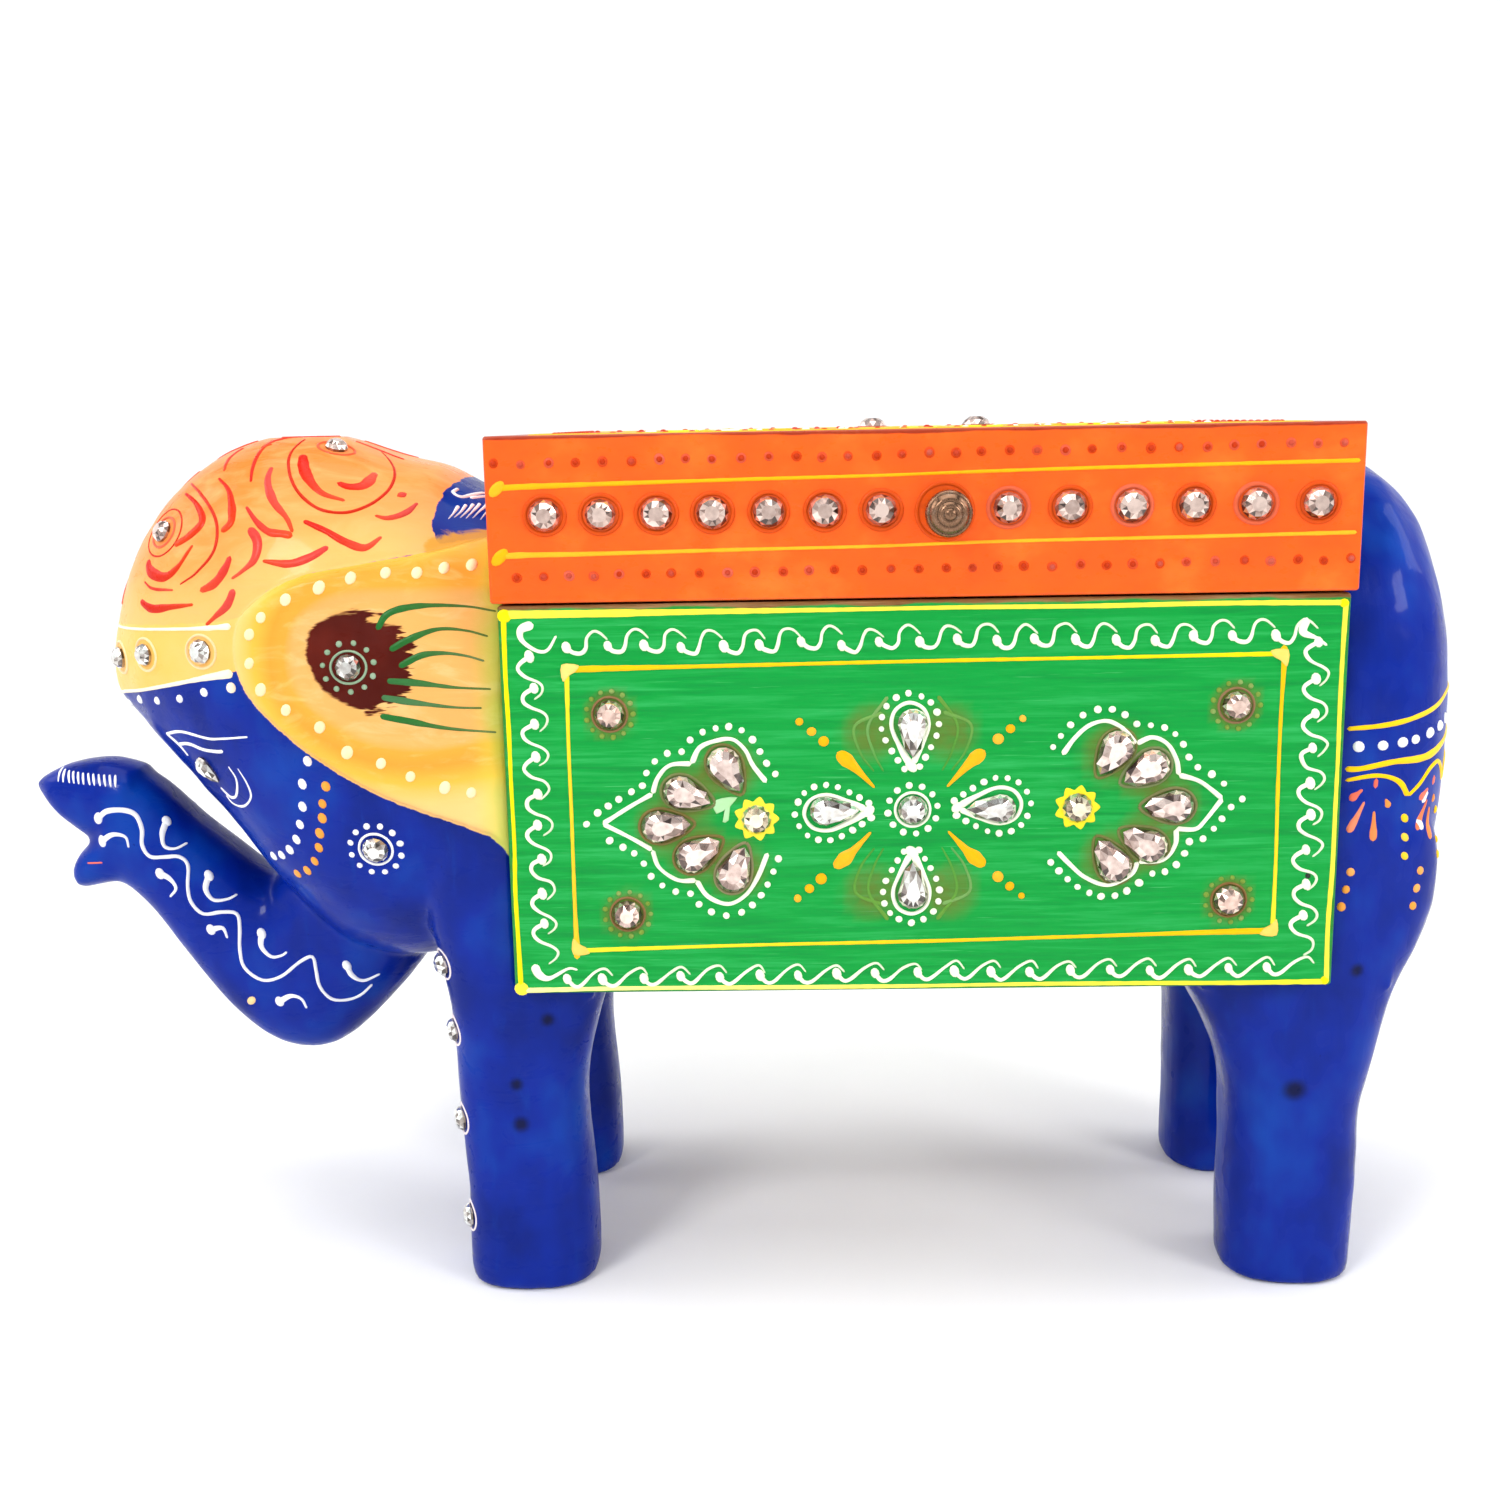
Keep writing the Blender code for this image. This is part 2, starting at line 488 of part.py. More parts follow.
FRONT, UP = (0, -1, 0), (0, 0, 1)
row = [KNOB_X - ROW_FROM_KNOB - ROW_LEFT_PITCH * k for k in range(ROW_LEFT)][::-1]
row += [KNOB_X + ROW_FROM_KNOB + ROW_RIGHT_PITCH * k for k in range(ROW_RIGHT)]
for k, x in enumerate(row):
    stone(f"lid_stone_{k + 1:02d}", (x, -LID_FRONT, ROW_Z), FRONT, UP, parent=lid_axis)
PATTERN_Z = SEAM_HEIGHT - PATTERN_DROP
stone("centre_stone", (PATTERN_X, -SIDE, PATTERN_Z), FRONT, UP)
for tag, turn in (("top", 180), ("rump", 270), ("bottom", 0), ("head", 90)):
    a = math.radians(turn)
    at = (PATTERN_X - DROP_AT * math.sin(a), -SIDE, PATTERN_Z - DROP_AT * math.cos(a))
    stone(f"drop_stone_{tag}", at, FRONT, UP, drop=True, turn=turn)
for tag, (inset, drop_z) in CORNER_STONES.items():
    x = (HALF - inset) * (-1 if tag.endswith("head") else 1)
    stone(f"corner_stone_{tag}", (x, -SIDE, SEAM_HEIGHT - drop_z), FRONT, UP)
for tag, sign in (("head", -1), ("rump", 1)):
    fx = PATTERN_X + sign * FAN_AT + FAN_SHIFT[tag][0]
    fz = PATTERN_Z + FAN_SHIFT[tag][1]
    stone(f"fan_{tag}_stone_0", (fx, -SIDE, fz), FRONT, UP)
    for k, (angle, reach) in enumerate(FAN[tag]):
        a = math.radians(angle)
        at = (fx + sign * reach * math.cos(a), -SIDE, fz + reach * math.sin(a))
        stone(f"fan_{tag}_stone_{k + 1}", at, FRONT, UP, drop=True,
              turn=math.degrees(math.atan2(-sign * math.cos(a), -math.sin(a))))
for k, x in enumerate((-9.0, 9.0)):
    stone(f"lid_top_stone_{k + 1}", (KNOB_X + x, 0.0, LID_TOP), (0, 0, 1), (0, 1, 0),
          parent=lid_axis)
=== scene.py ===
"""Looks of the hand-painted elephant box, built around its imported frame: the carved and
enamelled head and rump, the painted boards, the raised paint ornaments, the foil-backed
stones, the turned knob, the hinges and the stage."""

import random
from math import atan2, copysign, cos, hypot, pi, radians, sin, sqrt

import bmesh
import bpy
import numpy as np
from bpy.props import FloatProperty, FloatVectorProperty, PointerProperty
from bpy.types import NodeSocket, Operator, Panel, PropertyGroup
from mathutils import Matrix, Vector, noise
from mathutils.bvhtree import BVHTree


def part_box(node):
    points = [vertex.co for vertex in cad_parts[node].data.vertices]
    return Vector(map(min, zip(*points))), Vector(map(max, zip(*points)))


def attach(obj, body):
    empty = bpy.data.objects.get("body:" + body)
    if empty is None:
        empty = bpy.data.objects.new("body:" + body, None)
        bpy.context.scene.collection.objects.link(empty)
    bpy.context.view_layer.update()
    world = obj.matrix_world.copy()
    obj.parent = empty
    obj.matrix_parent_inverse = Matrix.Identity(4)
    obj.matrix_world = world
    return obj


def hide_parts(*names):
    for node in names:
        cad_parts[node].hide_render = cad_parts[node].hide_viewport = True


bl_info = {
    "name": "Painted Elephant Box",
    "version": (1, 0, 0),
    "blender": (4, 5, 0),
    "location": "View3D > Sidebar > Elephant",
    "description": "Dresses the frame of a wooden elephant box with carved, painted and jewelled pieces",
    "category": "Object",
}

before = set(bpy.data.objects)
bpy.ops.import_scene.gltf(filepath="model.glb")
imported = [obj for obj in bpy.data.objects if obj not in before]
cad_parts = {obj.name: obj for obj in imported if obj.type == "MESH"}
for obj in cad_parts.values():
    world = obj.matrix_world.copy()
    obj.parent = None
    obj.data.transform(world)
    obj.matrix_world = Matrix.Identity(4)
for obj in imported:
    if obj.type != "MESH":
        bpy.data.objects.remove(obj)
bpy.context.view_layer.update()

# ---- the box's own measures, in mm from its middle on the ground -------------------------
MM = 0.001
near_low, near_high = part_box("side_panel_front")
far_low, far_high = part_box("side_panel_back")
MIDDLE = Vector(((near_low.x + near_high.x) / 2, (near_low.y + far_high.y) / 2, 0.0))


def limits(node):
    """A node's (x0, x1, y0, y1, z0, z1) in mm from the middle of the box."""
    low, high = ((corner - MIDDLE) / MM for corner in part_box(node))
    return low.x, high.x, low.y, high.y, low.z, high.z


HALF, SIDE = limits("side_panel_back")[1], limits("side_panel_back")[3]
BOX_BOTTOM, WALL_TOP = limits("side_panel_front")[4:]
LID_HALF, LID_Z, LID_TOP = (limits("lid_front")[k] for k in (1, 4, 5))
LID_FACE = -limits("lid_front")[2]
LID_RAIL = limits("lid_front")[3] + LID_FACE
INNER = -limits("side_panel_front")[3]
GAP = LID_Z - WALL_TOP
SEAM = (LID_Z + WALL_TOP) / 2


# ---- sizes and colours a maker may want to change ----------------------------------------
def paint_pot(red, green, blue):
    """A paint colour, given as the 0 to 255 numbers on its pot, in linear light."""
    return tuple((c / 12.92 if c <= 0.04045 else ((c + 0.055) / 1.055) ** 2.4)
                 for c in (red / 255, green / 255, blue / 255))


def colour_field(label, about, rgb):
    return FloatVectorProperty(name=label, description=about, subtype="COLOR", size=3,
                               min=0.0, max=1.0, default=paint_pot(*rgb))


def length_field(label, about, size):
    return FloatProperty(name=label, description=about, default=size * MM, min=0.0,
                         subtype="DISTANCE", unit="LENGTH", precision=5)


class ElephantSizes(PropertyGroup):
    """Sizes of the carver's and the painter's work."""
    skin_step: length_field("Skin step", "Mesh size of the carved skins", 0.72)
    ear_relief: length_field("Ear relief", "How far the ears stand out from the cheeks", 2.0)
    ear_hollow: length_field("Ear hollow", "How deep the inside of an ear is scooped", 1.1)
    tool_marks: length_field("Tool marks", "Unevenness left by the chisel", 0.35)
    bead_height: length_field("Bead height", "Height of a raised paint stroke", 0.34)
    fine_line: length_field("Fine line", "Width of the thin scrollwork strokes", 0.57)
    frame_line: length_field("Frame line", "Width of the yellow frame lines", 0.84)
    dot_size: length_field("Dot size", "Diameter of the white dots", 1.12)
    stone_size: length_field("Stone size", "Diameter of the round stones", 5.0)
    stone_height: length_field("Stone height", "Height of the stones above the wood", 1.7)


class ElephantColours(PropertyGroup):
    """The paints, the bare wood and the metals."""
    blue: colour_field("Blue", "Enamel of head, trunk, legs and rump", (4, 36, 140))
    green: colour_field("Green", "Ground of the side panels", (0, 148, 55))
    orange: colour_field("Orange", "Ground of the lid", (250, 92, 16))
    cap: colour_field("Cap", "Orange cloth painted over the forehead", (242, 124, 52))
    ear: colour_field("Ear border", "Yellow border of the ears", (247, 178, 66))
    peach: colour_field("Ear inside", "Peach inside of the ears", (226, 166, 92))
    maroon: colour_field("Maroon", "Dark patch round the ear stone", (72, 14, 6))
    red: colour_field("Red", "Brush strokes on the cap", (200, 28, 8))
    cream: colour_field("Cream", "Scrollwork on the panels", (246, 250, 226))
    white: colour_field("White", "Dots and lines on the blue", (244, 244, 246))
    yellow: colour_field("Yellow", "Frame lines on the panels", (252, 228, 8))
    amber: colour_field("Amber", "Lines on the lid and accent drops", (253, 176, 10))
    wood: colour_field("Bare wood", "Unpainted wood", (150, 98, 52))
    brass: colour_field("Brass", "Hinges and pins", (196, 150, 78))
    nickel: colour_field("Knob metal", "Turned knob", (132, 100, 78))


# ---- shader building --------------------------------------------------------------------
def rgba(colour):
    return (*tuple(colour)[:3], 1.0)


def mixed(first, second, share):
    return tuple(a * (1 - share) + b * share for a, b in zip(tuple(first)[:3], tuple(second)[:3]))


class Finish:
    """One paint, wood or metal finish, built up as shader nodes over the piece's own space."""

    def __init__(self, name, roughness=0.4, metallic=0.0, coat=0.0, coat_roughness=0.08, specular=0.5):
        self.material = bpy.data.materials.new(name)
        self.material.use_nodes = True
        self.tree = self.material.node_tree
        self.shader = self.tree.nodes["Principled BSDF"]
        self.shader.inputs["Roughness"].default_value = roughness
        self.shader.inputs["Metallic"].default_value = metallic
        self.shader.inputs["Specular IOR Level"].default_value = specular
        self.shader.inputs["Coat Weight"].default_value = coat
        self.shader.inputs["Coat Roughness"].default_value = coat_roughness
        self.place = self.node("TexCoord").outputs["Object"]

    def node(self, kind, inputs=None, **settings):
        made = self.tree.nodes.new("ShaderNode" + kind)
        for key, value in settings.items():
            setattr(made, key, value)
        for key, value in (inputs or {}).items():
            if isinstance(value, NodeSocket):
                self.tree.links.new(value, made.inputs[key])
            else:
                made.inputs[key].default_value = value
        return made

    def touch(self, grain, low, high, share, base, colour, kind="MIX"):
        """The base with a little of another colour where the grain runs high."""
        return self.blend(self.step(grain, low, high, 0.0, share), base, colour, kind)

    def ragged(self, value, grain, size):
        """A value with this much unevenness added, in its own unit."""
        return self.calc("ADD", value, self.calc("MULTIPLY_ADD", grain, 2 * size, -size))

    def grain(self, size, stretch=(1, 1, 1), detail=3.0, roughness=0.55, distortion=0.0):
        """Cloudy variation with features of this size in mm, longer where stretch is small."""
        scale = [s / (size * MM) for s in stretch]
        spot = self.node("Mapping", {"Vector": self.place, "Scale": scale}).outputs[0]
        return self.node("TexNoise", {"Vector": spot, "Scale": 1.0, "Detail": detail,
                                      "Roughness": roughness, "Distortion": distortion}).outputs[0]

    def blend(self, share, first, second, kind="MIX"):
        first, second = (v if isinstance(v, NodeSocket) else rgba(v) for v in (first, second))
        made = self.node("Mix", {0: share, 6: first, 7: second}, data_type="RGBA", blend_type=kind)
        return made.outputs[2]

    def ramp(self, share, stops):
        made = self.node("ValToRGB", {"Fac": share})
        band = made.color_ramp
        while len(band.elements) < len(stops):
            band.elements.new(1.0)
        for element, (position, colour) in zip(band.elements, stops):
            element.position = position
            element.color = rgba(colour)
        return made.outputs["Color"]

    def step(self, value, low, high, out_low=0.0, out_high=1.0):
        """A soft step from low to high."""
        return self.node("MapRange", {"Value": value, "From Min": low, "From Max": high,
                                      "To Min": out_low, "To Max": out_high},
                         interpolation_type="SMOOTHSTEP").outputs[0]

    def calc(self, operation, first, second=0.0, third=0.0):
        made = self.node("Math", {0: first, 1: second}, operation=operation)
        if operation == "MULTIPLY_ADD":
            made.inputs[2].default_value = third
        return made.outputs[0]

    def number(self, name):
        return self.node("Attribute", {}, attribute_name=name).outputs["Fac"]

    def tint(self, name):
        return self.node("Attribute", {}, attribute_name=name).outputs["Color"]

    def height_above(self, axis, level):
        """How far a point lies past a level along one axis, in mm."""
        part = self.node("SeparateXYZ", {"Vector": self.place}).outputs[axis]
        shifted = (MIDDLE[axis] + level * MM)
        return self.calc("MULTIPLY", self.calc("SUBTRACT", part, shifted), 1 / MM)

    def edge(self, name, wobble=0.0, size=2.0, soft=0.12):
        """1 inside a painted area and 0 outside, with a hand-cut edge."""
        value = self.number(name)
        if wobble:
            value = self.ragged(value, self.grain(size, detail=4.0), wobble)
        return self.step(value, -soft, soft)

    def done(self, colour=None, roughness=None, heights=()):
        """Plugs the colour, the roughness and the heights (socket, depth in mm) in."""
        if colour is not None:
            self.tree.links.new(colour, self.shader.inputs["Base Color"])
        if roughness is not None:
            self.tree.links.new(roughness, self.shader.inputs["Roughness"])
        normal = None
        for height, depth in heights:
            values = {"Height": height, "Strength": 1.0, "Distance": depth * MM}
            if normal is not None:
                values["Normal"] = normal
            normal = self.node("Bump", values).outputs["Normal"]
        if normal is not None:
            self.tree.links.new(normal, self.shader.inputs["Normal"])
        return self.material


# ---- finishes ---------------------------------------------------------------------------
finishes = {}


def finish_of(name, colours):
    """The finish of this name, made the first time it is asked for."""
    if name not in finishes:
        finishes[name] = FINISHES[name](colours)
    return finishes[name]


def wood_colour(f, colours, along=0):
    """Straight-grained pale hardwood with darker growth lines along one axis."""
    stretch = [1.0, 1.0, 1.0]
    stretch[along] = 0.06
    lines = f.grain(1.6, stretch, 5.0, 0.65, 0.6)
    pores = f.grain(0.45, [s if s < 1 else 1.0 for s in stretch], 2.0)
    base = f.ramp(lines, ((0.3, mixed(colours.wood, (0.03, 0.015, 0.006), 0.55)),
                          (0.48, colours.wood),
                          (0.72, mixed(colours.wood, (0.8, 0.55, 0.3), 0.45))))
    dark = f.step(pores, 0.60, 0.72)
    return f.blend(f.calc("MULTIPLY", dark, 0.45), base, (0.05, 0.025, 0.012)), lines


def blue_base(f, colours):
    """Glossy blue enamel put on with a broad brush."""
    clouds = f.grain(14.0, (1, 1, 0.7), 3.0)
    streaks = f.grain(2.4, (1, 1, 0.16), 4.0, 0.6, 0.5)
    deep = mixed(colours.blue, (0.0, 0.006, 0.10), 0.5)
    light = mixed(colours.blue, (0.004, 0.09, 0.46), 0.4)
    base = f.ramp(clouds, ((0.32, deep), (0.52, colours.blue), (0.74, light)))
    return f.touch(streaks, 0.58, 0.8, 0.35, base, light), streaks, clouds


def worn_blue(f, colours):
    """The blue with a few rubbed specks where the wood shows."""
    base, streaks, clouds = blue_base(f, colours)
    specks = f.step(f.grain(1.3, detail=2.0), 0.765, 0.79)
    base = f.blend(f.calc("MULTIPLY", specks, 0.55), base, mixed(colours.blue, (0, 0, 0.02), 0.75))
    base = f.blend(f.step(f.number("knot"), 0.1, 1.6, 0.0, 0.9), base, (0.001, 0.002, 0.02))
    return base, streaks, clouds


def blue_skin(colours):
    f = Finish("blue_enamel", 0.3, coat=0.16, specular=0.05)
    base, streaks, clouds = worn_blue(f, colours)
    rough = f.step(clouds, 0.3, 0.8, 0.2, 0.42)
    return f.done(base, rough, ((clouds, 0.35), (streaks, 0.09), (f.grain(0.5, detail=2.0), 0.012)))


def head_skin(colours):
    f = Finish("painted_head", 0.32, coat=0.14, specular=0.05)
    base, streaks, clouds = worn_blue(f, colours)
    brush = f.grain(3.2, (0.35, 1, 1), 5.0, 0.62, 0.8)
    broad = f.grain(11.0, detail=2.0)
    # The ear: a yellow border shading to ochre, a peach hollow and a maroon patch. The border carries painted light: it
    # is paler on its outer rim (painted highlight on the ridge) and darkens to ochre on the slope into the hollow
    # (painted shade in the crease).
    into_hollow = f.number("ear_hollow")
    border = f.ramp(f.step(into_hollow, -11.0, 0.6), (
        (0.0, mixed(colours.ear, (0.95, 0.62, 0.3), 0.55)), (0.35, colours.ear),
        (0.72, mixed(colours.ear, (0.7, 0.23, 0.02), 0.62)), (0.93, mixed(colours.ear, (0.7, 0.24, 0.03), 0.5)),
        (1.0, colours.peach)))
    border = f.touch(brush, 0.5, 0.78, 0.5, border, mixed(colours.ear, (1, 0.75, 0.4), 0.45))
    peach = f.touch(brush, 0.46, 0.72, 0.5, colours.peach, mixed(colours.peach, (1.0, 0.75, 0.4), 0.5))
    ear = f.blend(f.edge("ear_hollow", 0.9, 4.0, 0.9), border, peach)
    dry = f.grain(1.5, (0.16, 1, 1), 3.0, 0.7, 0.4)
    ragged = f.step(f.height_above(0, -93.0), 0.0, 9.0, 2.0, 9.5)
    patch = f.calc("ADD", f.number("ear_patch"), f.calc("MULTIPLY", f.calc("SUBTRACT", dry, 0.5), ragged))
    maroon = f.touch(broad, 0.4, 0.7, 0.5, colours.maroon, mixed(colours.maroon, (0.2, 0.02, 0.01), 0.6))
    ear = f.blend(f.step(patch, -0.25, 0.35), ear, maroon)
    spray = f.calc("MULTIPLY", f.step(f.height_above(0, -HALF), -6.0, -0.4, 0.0, 0.8), f.step(broad, 0.25, 0.7, 0.45, 1.0))
    ear = f.blend(spray, ear, (0.42, 0.62, 0.06))
    # The cap over the forehead, paler towards its lower edge.
    cap = f.ramp(f.step(f.number("cap"), 0.0, 22.0), (
        (0.0, mixed(colours.cap, (1.0, 0.56, 0.18), 0.7)), (0.3, mixed(colours.cap, (1.0, 0.5, 0.15), 0.4)), (1.0, colours.cap)))
    cap = f.touch(brush, 0.42, 0.75, 0.5, cap, mixed(colours.cap, (1.0, 0.62, 0.26), 0.55))
    band = f.touch(broad, 0.35, 0.7, 0.5, mixed(colours.ear, (0.95, 0.62, 0.28), 0.4), colours.ear)
    colour = f.blend(f.edge("band", 0.25), base, band)
    colour = f.blend(f.edge("ear", 0.25), colour, ear)
    colour = f.blend(f.edge("cap", 0.35), colour, cap)
    colour = f.blend(f.edge("withers", 0.7, 3.0), colour, base)
    ochre = f.step(f.ragged(f.number("withers_hem"), brush, 2.0), -0.3, 0.5)
    colour = f.blend(f.calc("MULTIPLY", ochre, 0.9), colour, (0.62, 0.33, 0.03))
    rough = f.step(brush, 0.3, 0.8, 0.24, 0.46)
    return f.done(colour, rough, ((clouds, 0.3), (brush, 0.10), (f.grain(0.5, detail=2.0), 0.014)))


def green_board(colours):
    f = Finish("green_paint", 0.42, coat=0.1, coat_roughness=0.25, specular=0.12)
    streaks = f.grain(1.05, (0.05, 1, 1), 5.0, 0.62, 0.4)
    fine = f.grain(0.32, (0.03, 1, 1), 3.0, 0.6)
    clouds = f.grain(22.0, (0.6, 1, 1), 3.0)
    deep = mixed(colours.green, (0.0, 0.12, 0.03), 0.4)
    light = mixed(colours.green, (0.08, 0.62, 0.22), 0.3)
    base = f.ramp(streaks, ((0.3, deep), (0.48, colours.green), (0.75, light)))
    base = f.touch(clouds, 0.35, 0.7, 0.55, base, colours.green)
    base = f.touch(fine, 0.62, 0.8, 0.4, base, mixed(colours.green, (0.25, 0.8, 0.4), 0.5))
    halo = f.calc("MULTIPLY", f.number("halo"), f.step(f.grain(2.2), 0.2, 0.7, 0.55, 1.0))
    base = f.blend(halo, base, (0.19, 0.075, 0.006))
    edge = f.ragged(f.number("edge"), f.grain(3.0, (0.4, 1, 1)), 0.6)
    base = f.touch(edge, 0.9, 0.1, 0.5, base, (0.045, 0.09, 0.012))
    wood, lines = wood_colour(f, colours)
    back = f.ragged(f.number("depth"), f.grain(2.5), 0.8)
    base = f.blend(f.step(back, 1.2, 1.7), base, wood)
    rub = f.calc("ADD", f.height_above(2, WALL_TOP), f.calc("MULTIPLY_ADD", f.grain(5.0, (0.5, 1, 1), 4.0), 1.7, -0.1))
    base = f.blend(f.step(rub, -0.1, 0.25), base, f.blend(0.35, wood, (0.04, 0.03, 0.01)))
    rough = f.step(streaks, 0.3, 0.8, 0.3, 0.5)
    return f.done(base, rough, ((clouds, 0.25), (streaks, 0.06), (fine, 0.02)))


def orange_board(colours):
    f = Finish("orange_paint", 0.36, coat=0.2, coat_roughness=0.16, specular=0.15)
    clouds = f.grain(9.0, (0.7, 1, 1), 4.0)
    mottle = f.grain(1.4, (0.5, 1, 1), 4.0, 0.65)
    base = f.ramp(clouds, ((0.3, mixed(colours.orange, (0.75, 0.06, 0.005), 0.35)), (0.52, colours.orange),
                           (0.75, mixed(colours.orange, (1.0, 0.25, 0.03), 0.4))))
    base = f.touch(mottle, 0.5, 0.75, 0.3, base, mixed(colours.orange, (0.7, 0.04, 0.0), 0.5))
    halo = f.calc("MULTIPLY", f.number("halo"), f.step(mottle, 0.2, 0.7, 0.5, 1.0))
    base = f.blend(halo, base, (0.36, 0.045, 0.004))
    hem = f.calc("ADD", f.height_above(2, LID_TOP), f.calc("MULTIPLY_ADD", f.grain(7.0, (0.5, 1, 1), 4.0), 1.3, -0.35))
    rim = f.calc("MULTIPLY", f.step(hem, -0.45, -0.1), f.number("upright"))
    base = f.blend(f.calc("MULTIPLY", rim, 0.85), base, (0.20, 0.012, 0.006))
    edge = f.ragged(f.number("edge"), f.grain(2.0), 0.45)
    base = f.touch(edge, 0.55, 0.0, 0.5, base, (0.42, 0.07, 0.02))
    wood, lines = wood_colour(f, colours)
    back = f.ragged(f.number("depth"), f.grain(2.5), 0.8)
    base = f.blend(f.step(back, 1.9, 2.4), base, wood)
    rough = f.step(mottle, 0.3, 0.8, 0.26, 0.44)
    return f.done(base, rough, ((clouds, 0.22), (mottle, 0.05)))


def bare_board(colours):
    f = Finish("bare_wood", 0.62)
    wood, lines = wood_colour(f, colours)
    stain = f.step(f.grain(17.0, detail=4.0), 0.55, 0.75, 0.0, 0.35)
    wood = f.blend(stain, wood, mixed(colours.wood, (0.05, 0.02, 0.01), 0.5))
    return f.done(wood, f.step(lines, 0.3, 0.8, 0.55, 0.75), ((lines, 0.12),))


def raised_paint(colours):
    f = Finish("raised_paint", 0.36, coat=0.06, coat_roughness=0.15, specular=0.08)
    mottle = f.grain(1.1, detail=3.0)
    tone = f.touch(mottle, 0.35, 0.75, 0.22, f.tint("paint"), (0.3, 0.25, 0.1), "SOFT_LIGHT")
    return f.done(tone, f.step(mottle, 0.3, 0.8, 0.26, 0.46), ((f.grain(0.7, detail=2.0), 0.05),))


def foil_glass(colours):
    """Glass over a silver foil, coloured by each facet's painted reflection, from near black to near white."""
    f = Finish("foil_backed_glass", 0.16, metallic=0.82, coat=1.0, coat_roughness=0.02)
    tone = f.ragged(f.number("facet"), f.grain(1.1, detail=1.0), 0.25)
    base = f.ramp(tone, ((0.08, (0.06, 0.045, 0.04)), (0.3, (0.28, 0.22, 0.2)), (0.55, (0.6, 0.54, 0.52)),
                         (0.82, (0.95, 0.93, 0.92))))
    base = f.blend(0.9, base, f.tint("foil"), "MULTIPLY")
    return f.done(base, f.step(tone, 0.0, 1.0, 0.24, 0.09))


def turned_metal(name, tone, dark):
    f = Finish(name, 0.26, metallic=1.0)
    wear = f.grain(2.2, detail=4.0)
    fine = f.grain(0.35, (1, 0.25, 1), 2.0)
    base = f.ramp(wear, ((0.3, mixed(tone, dark, 0.35)), (0.55, tone), (0.8, mixed(tone, (1, 0.95, 0.85), 0.25))))
    # Painted shade in the knob's turned grooves: points on the grooves are darkened.
    base = f.blend(f.calc("MULTIPLY", f.number("groove_shade"), 0.85), base, mixed(dark, (0, 0, 0), 0.5))
    return f.done(base, f.step(fine, 0.3, 0.75, 0.2, 0.36), ((fine, 0.008),))


def stage_floor(colours):
    f = Finish("studio_paper", 0.75)
    clouds = f.grain(60.0, detail=3.0)
    base = f.ramp(clouds, ((0.3, (0.92, 0.92, 0.92)), (0.7, (0.95, 0.95, 0.95))))
    return f.done(base, None, ((f.grain(0.8, detail=2.0), 0.01),))


FINISHES = {
    "blue": blue_skin,
    "head": head_skin,
    "green": green_board,
    "orange": orange_board,
    "wood": bare_board,
    "paint": raised_paint,
    "glass": foil_glass,
    "brass": lambda c: turned_metal("brass", c.brass, (0.12, 0.06, 0.02)),
    "nickel": lambda c: turned_metal("knob_metal", c.nickel, (0.10, 0.06, 0.04)),
    "floor": stage_floor,
}


# ---- mesh building ----------------------------------------------------------------------
def piece(name, points, faces, finish, body=None, smooth=True, replaces=()):
    """Makes one object from points in mm of the box, gives it its finish and its body."""
    mesh = bpy.data.meshes.new(name)
    world = np.asarray(points, float) * MM + np.array(MIDDLE)
    mesh.from_pydata(world.tolist(), [], [tuple(f) for f in faces])
    mesh.validate()
    mesh.update()
    mesh.polygons.foreach_set("use_smooth", [smooth] * len(mesh.polygons))
    mesh.materials.append(finish)
    obj = bpy.data.objects.new(name, mesh)
    bpy.context.scene.collection.objects.link(obj)
    if body:
        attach(obj, body)
    if replaces:
        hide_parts(*replaces)
    return obj


def note(obj, name, values, kind="FLOAT", domain="POINT"):
    """Stores one number or colour for each point or face, for the finish to read."""
    layer = obj.data.attributes.new(name, kind, domain)
    key = "value" if kind == "FLOAT" else "color"
    layer.data.foreach_set(key, np.asarray(values, np.float32).ravel())


def smooth_rows(rows, per=4, closed=False):
    """Rows of numbers with Catmull-Rom rows added between them."""
    rows = [np.array(r, float) for r in rows]
    count = len(rows)
    made = []
    for k in range(count if closed else count - 1):
        if closed:
            a, b, c, d = (rows[(k + i) % count] for i in (-1, 0, 1, 2))
        else:
            b, c = rows[k], rows[k + 1]
            a = rows[k - 1] if k else 2 * b - c
            d = rows[k + 2] if k + 2 < count else 2 * c - b
        for i in range(per):
            t = i / per
            made.append(0.5 * (2 * b + (c - a) * t + (2 * a - 5 * b + 4 * c - d) * t ** 2
                               + (3 * b - a - 3 * c + d) * t ** 3))
    if not closed:
        made.append(rows[-1])
    return made


def into_outline(spots, outline):
    """How far each (x, z) spot lies inside a closed outline, in mm; negative outside."""
    spots = np.asarray(spots, float)
    outline = np.asarray(outline, float)
    nearest = np.full(len(spots), 1e9)
    inside = np.zeros(len(spots), bool)
    for (ax, az), (bx, bz) in zip(outline, np.roll(outline, -1, axis=0)):
        run = np.array([bx - ax, bz - az])
        rel = spots - (ax, az)
        t = np.clip(rel @ run / max(run @ run, 1e-12), 0, 1)
        nearest = np.minimum(nearest, np.hypot(*(rel - t[:, None] * run).T))
        crossing = (spots[:, 1] < az) != (spots[:, 1] < bz)
        if bz != az:
            inside ^= crossing & (spots[:, 0] < ax + (spots[:, 1] - az) / (bz - az) * (bx - ax))
    return np.where(inside, nearest, -nearest)


def ease(value, low, high):
    """Smooth step of an array from 0 at low to 1 at high."""
    t = np.clip((np.asarray(value, float) - low) / (high - low), 0, 1)
    return t * t * (3 - 2 * t)


